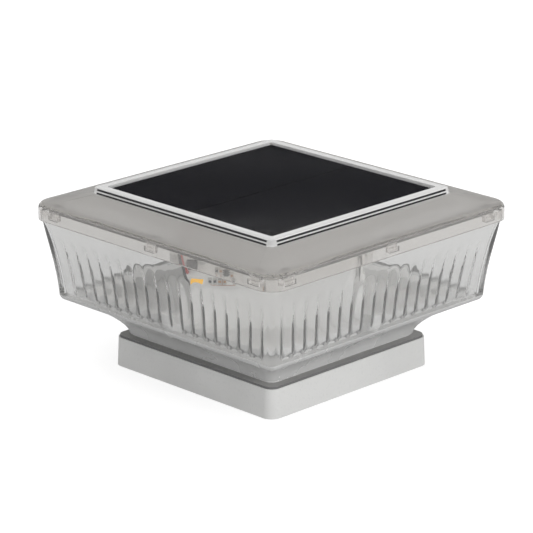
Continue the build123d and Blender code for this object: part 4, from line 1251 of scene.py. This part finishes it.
class PILLARLIGHT_OT_cover(bpy.types.Operator):
    """Top cover: frosted shoulder, clear skirt and a clear rim round the panel"""

    bl_idname = "pillar_light.cover"
    bl_label = "Top cover"

    def execute(self, context):
        colours = context.scene.pillar_light_colours
        skin = merged_copy("cover")
        for face in skin.faces:
            middle = face.calc_center_median()
            outside = max(abs(middle.x), abs(middle.y)) > POCKET_SIDE / 2 - GLAZING_GAP
            if outside and middle.z > RIM_FOOT:
                face.material_index = 1
            elif middle.z < SHOULDER_LOW:
                face.material_index = 2
        mesh = finished_mesh("top_cover", skin)
        keep_flat(mesh)
        mesh = even_normals(mesh)
        mesh.materials.append(frosted_shoulder_plastic(colours.frost))
        mesh.materials.append(clear_rim_plastic())
        mesh.materials.append(clear_skirt_plastic())
        new_piece("top_cover", mesh, "head", "frosted_plastic", "cover")
        return {"FINISHED"}


class PILLARLIGHT_OT_panel(bpy.types.Operator):
    """Solar panel: cells, back sheet and the glazing over them"""

    bl_idname = "pillar_light.panel"
    bl_label = "Solar panel"

    def execute(self, context):
        colours = context.scene.pillar_light_colours
        dress(cell_silicon(colours.cells), "solar_cells")
        dress(back_sheet_skin(), "back_sheet")
        low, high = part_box("laminate")
        low.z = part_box("solar_cells")[1].z + GLAZING_GAP
        size = high - low
        plate = bmesh.new()
        matrix = Matrix.Translation((low + high) / 2) @ Matrix.Diagonal((*size, 1.0))
        bmesh.ops.create_cube(plate, size=1.0, matrix=matrix)
        bmesh.ops.bevel(
            plate, geom=plate.edges, offset=GLAZING_BEVEL, segments=GLAZING_STEPS, profile=0.5, affect="EDGES"
        )
        mesh = finished_mesh("panel_glazing", plate)
        mesh.materials.append(laminate_film())
        new_piece("panel_glazing", mesh, "head", "clear_laminate", "laminate")
        return {"FINISHED"}


class PILLARLIGHT_OT_light_box(bpy.types.Operator):
    """White light box, cell holder and what they carry"""

    bl_idname = "pillar_light.light_box"
    bl_label = "Light box and cell"

    def execute(self, context):
        colours = context.scene.pillar_light_colours
        low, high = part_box("light_box")
        white = moulding("light_box_moulding", colours.light_box, low.z, high.z, 1000.0, 0.42, 0.08)
        black = small_part("holder_moulding", (0.02, 0.02, 0.022, 1.0), (0.035, 0.035, 0.037, 1.0), 1200.0)
        nickel = plated_metal("nickel_plate", (0.72, 0.70, 0.66, 1.0), 0.25)
        dress(white, "light_box")
        dress(black, "holder")
        dress(cell_sleeve(), "cell")
        dress(nickel, "cell_button", "contacts", "switch_nut")
        return {"FINISHED"}


class PILLARLIGHT_OT_boards(bpy.types.Operator):
    """Boards with their LEDs, chip, connector, chip parts and copper traces"""

    bl_idname = "pillar_light.boards"
    bl_label = "Boards"

    def execute(self, context):
        package = small_part("led_package_white", (0.80, 0.80, 0.78, 1.0), (0.86, 0.86, 0.84, 1.0))
        epoxy = small_part("chip_moulding", (0.012, 0.018, 0.022, 1.0), (0.022, 0.032, 0.036, 1.0))
        nylon = small_part("connector_nylon", (0.02, 0.02, 0.02, 1.0), (0.03, 0.03, 0.03, 1.0))
        dress(board_mask(), "main_board", "led_boards")
        dress(package, "led_packages")
        dress(phosphor(), "led_phosphors")
        dress(epoxy, "chip")
        dress(nylon, "connector")
        tree = chip_parts_tree()
        tin = plated_metal("solder_tin", (0.74, 0.72, 0.69, 1.0), 0.35)
        glaze = small_part("resistor_glaze", (0.02, 0.022, 0.03, 1.0), (0.03, 0.034, 0.045, 1.0), gloss=0.3)
        ceramic = small_part("capacitor_ceramic", (0.40, 0.22, 0.12, 1.0), (0.50, 0.30, 0.17, 1.0))
        seats = self.chip_parts("resistors", "resistor_dark", tree, glaze, tin)
        seats += self.chip_parts("capacitors", "capacitor_tan", tree, ceramic, tin)
        self.traces(seats)
        return {"FINISHED"}

    def chip_parts(self, node, slot, tree, body, plating):
        """Plated chip parts in place of the plain ones of a node. Gives their middles."""
        solids = solids_of(node)
        seats = [middle for middle, size in solids]
        width, depth, length = solids[0][1]
        mesh = grown_mesh(
            "plated_" + node,
            lines_mesh(node + "_places", [[seat] for seat in seats]),
            tree,
            Width=width,
            Length=length,
            Depth=depth,
            Cap=CAP_LENGTH,
            Turn=(0.0, 0.0, BOARD_TURN),
            Material=body,
            Plating=plating,
        )
        new_piece("plated_" + node, mesh, "head", slot, node)
        return seats

    def traces(self, seats):
        """A copper bus along the lower edge of the main board, and a branch from it to each chip part."""
        middle, size = solids_of("main_board")[0]
        front = middle.dot(OUTWARD) + size[1] / 2
        bus = middle.z - size[2] / 2 + BUS_MARGIN
        places = [seat.dot(ALONG) for seat in seats]

        def on_board(along, height):
            return ALONG * along + OUTWARD * front + UPWARD * height

        lines = [[on_board(min(places), bus), on_board(max(places), bus)]]
        lines += [[on_board(seat.dot(ALONG), seat.z), on_board(seat.dot(ALONG), bus)] for seat in seats]
        copper = plated_metal("masked_copper", (0.72, 0.50, 0.40, 1.0), 0.45)
        mesh = grown_mesh(
            "board_traces",
            lines_mesh("trace_lines", lines),
            traces_tree(),
            Width=TRACE_WIDTH,
            Thickness=TRACE_THICKNESS,
            Material=copper,
        )
        new_piece("board_traces", mesh, "head", "contact_nickel")


class PILLARLIGHT_OT_fittings(bpy.types.Operator):
    """Screws, switch and leads"""

    bl_idname = "pillar_light.fittings"
    bl_label = "Screws, switch and leads"

    def execute(self, context):
        steel = plated_metal("zinc_plate", (0.62, 0.62, 0.61, 1.0), 0.32)
        dress(steel, "tray_screws", "box_screws", "board_screws", "holder_screws")
        black = small_part("switch_moulding", (0.014, 0.014, 0.015, 1.0), (0.026, 0.026, 0.027, 1.0), 1200.0)
        red = small_part("button_moulding", (0.42, 0.025, 0.02, 1.0), (0.52, 0.035, 0.028, 1.0), 1100.0)
        dress(black, "switch_body")
        dress(red, "power_button")
        dress(lead_insulation("black_insulation", (0.012, 0.012, 0.013, 1.0)), "black_lead")
        dress(lead_insulation("red_insulation", (0.45, 0.02, 0.015, 1.0)), "red_lead")
        return {"FINISHED"}


class PILLARLIGHT_PT_steps(bpy.types.Panel):
    """Lists the settings and the steps that dress the light"""

    bl_idname = "PILLARLIGHT_PT_steps"
    bl_label = "Solar pillar light"
    bl_space_type = "VIEW_3D"
    bl_region_type = "UI"
    bl_category = "Pillar light"

    def draw(self, context):
        layout = self.layout
        for group in (context.scene.pillar_light_sizes, context.scene.pillar_light_colours):
            for name in group.__annotations__:
                layout.prop(group, name)
        for step in STEPS:
            layout.operator(step.bl_idname)


STEPS = (
    PILLARLIGHT_OT_stage,
    PILLARLIGHT_OT_housing,
    PILLARLIGHT_OT_bowl,
    PILLARLIGHT_OT_cover,
    PILLARLIGHT_OT_panel,
    PILLARLIGHT_OT_light_box,
    PILLARLIGHT_OT_boards,
    PILLARLIGHT_OT_fittings,
)
CLASSES = (PillarLightSizes, PillarLightColours, *STEPS, PILLARLIGHT_PT_steps)


def register():
    for item in CLASSES:
        bpy.utils.register_class(item)
    bpy.types.Scene.pillar_light_sizes = bpy.props.PointerProperty(type=PillarLightSizes)
    bpy.types.Scene.pillar_light_colours = bpy.props.PointerProperty(type=PillarLightColours)


def unregister():
    del bpy.types.Scene.pillar_light_colours
    del bpy.types.Scene.pillar_light_sizes
    for item in reversed(CLASSES):
        bpy.utils.unregister_class(item)


def main():
    register()
    bpy.ops.pillar_light.stage()
    bpy.ops.pillar_light.housing()
    bpy.ops.pillar_light.bowl()
    bpy.ops.pillar_light.cover()
    bpy.ops.pillar_light.panel()
    bpy.ops.pillar_light.light_box()
    bpy.ops.pillar_light.boards()
    bpy.ops.pillar_light.fittings()


if __name__ == "__main__":
    main()
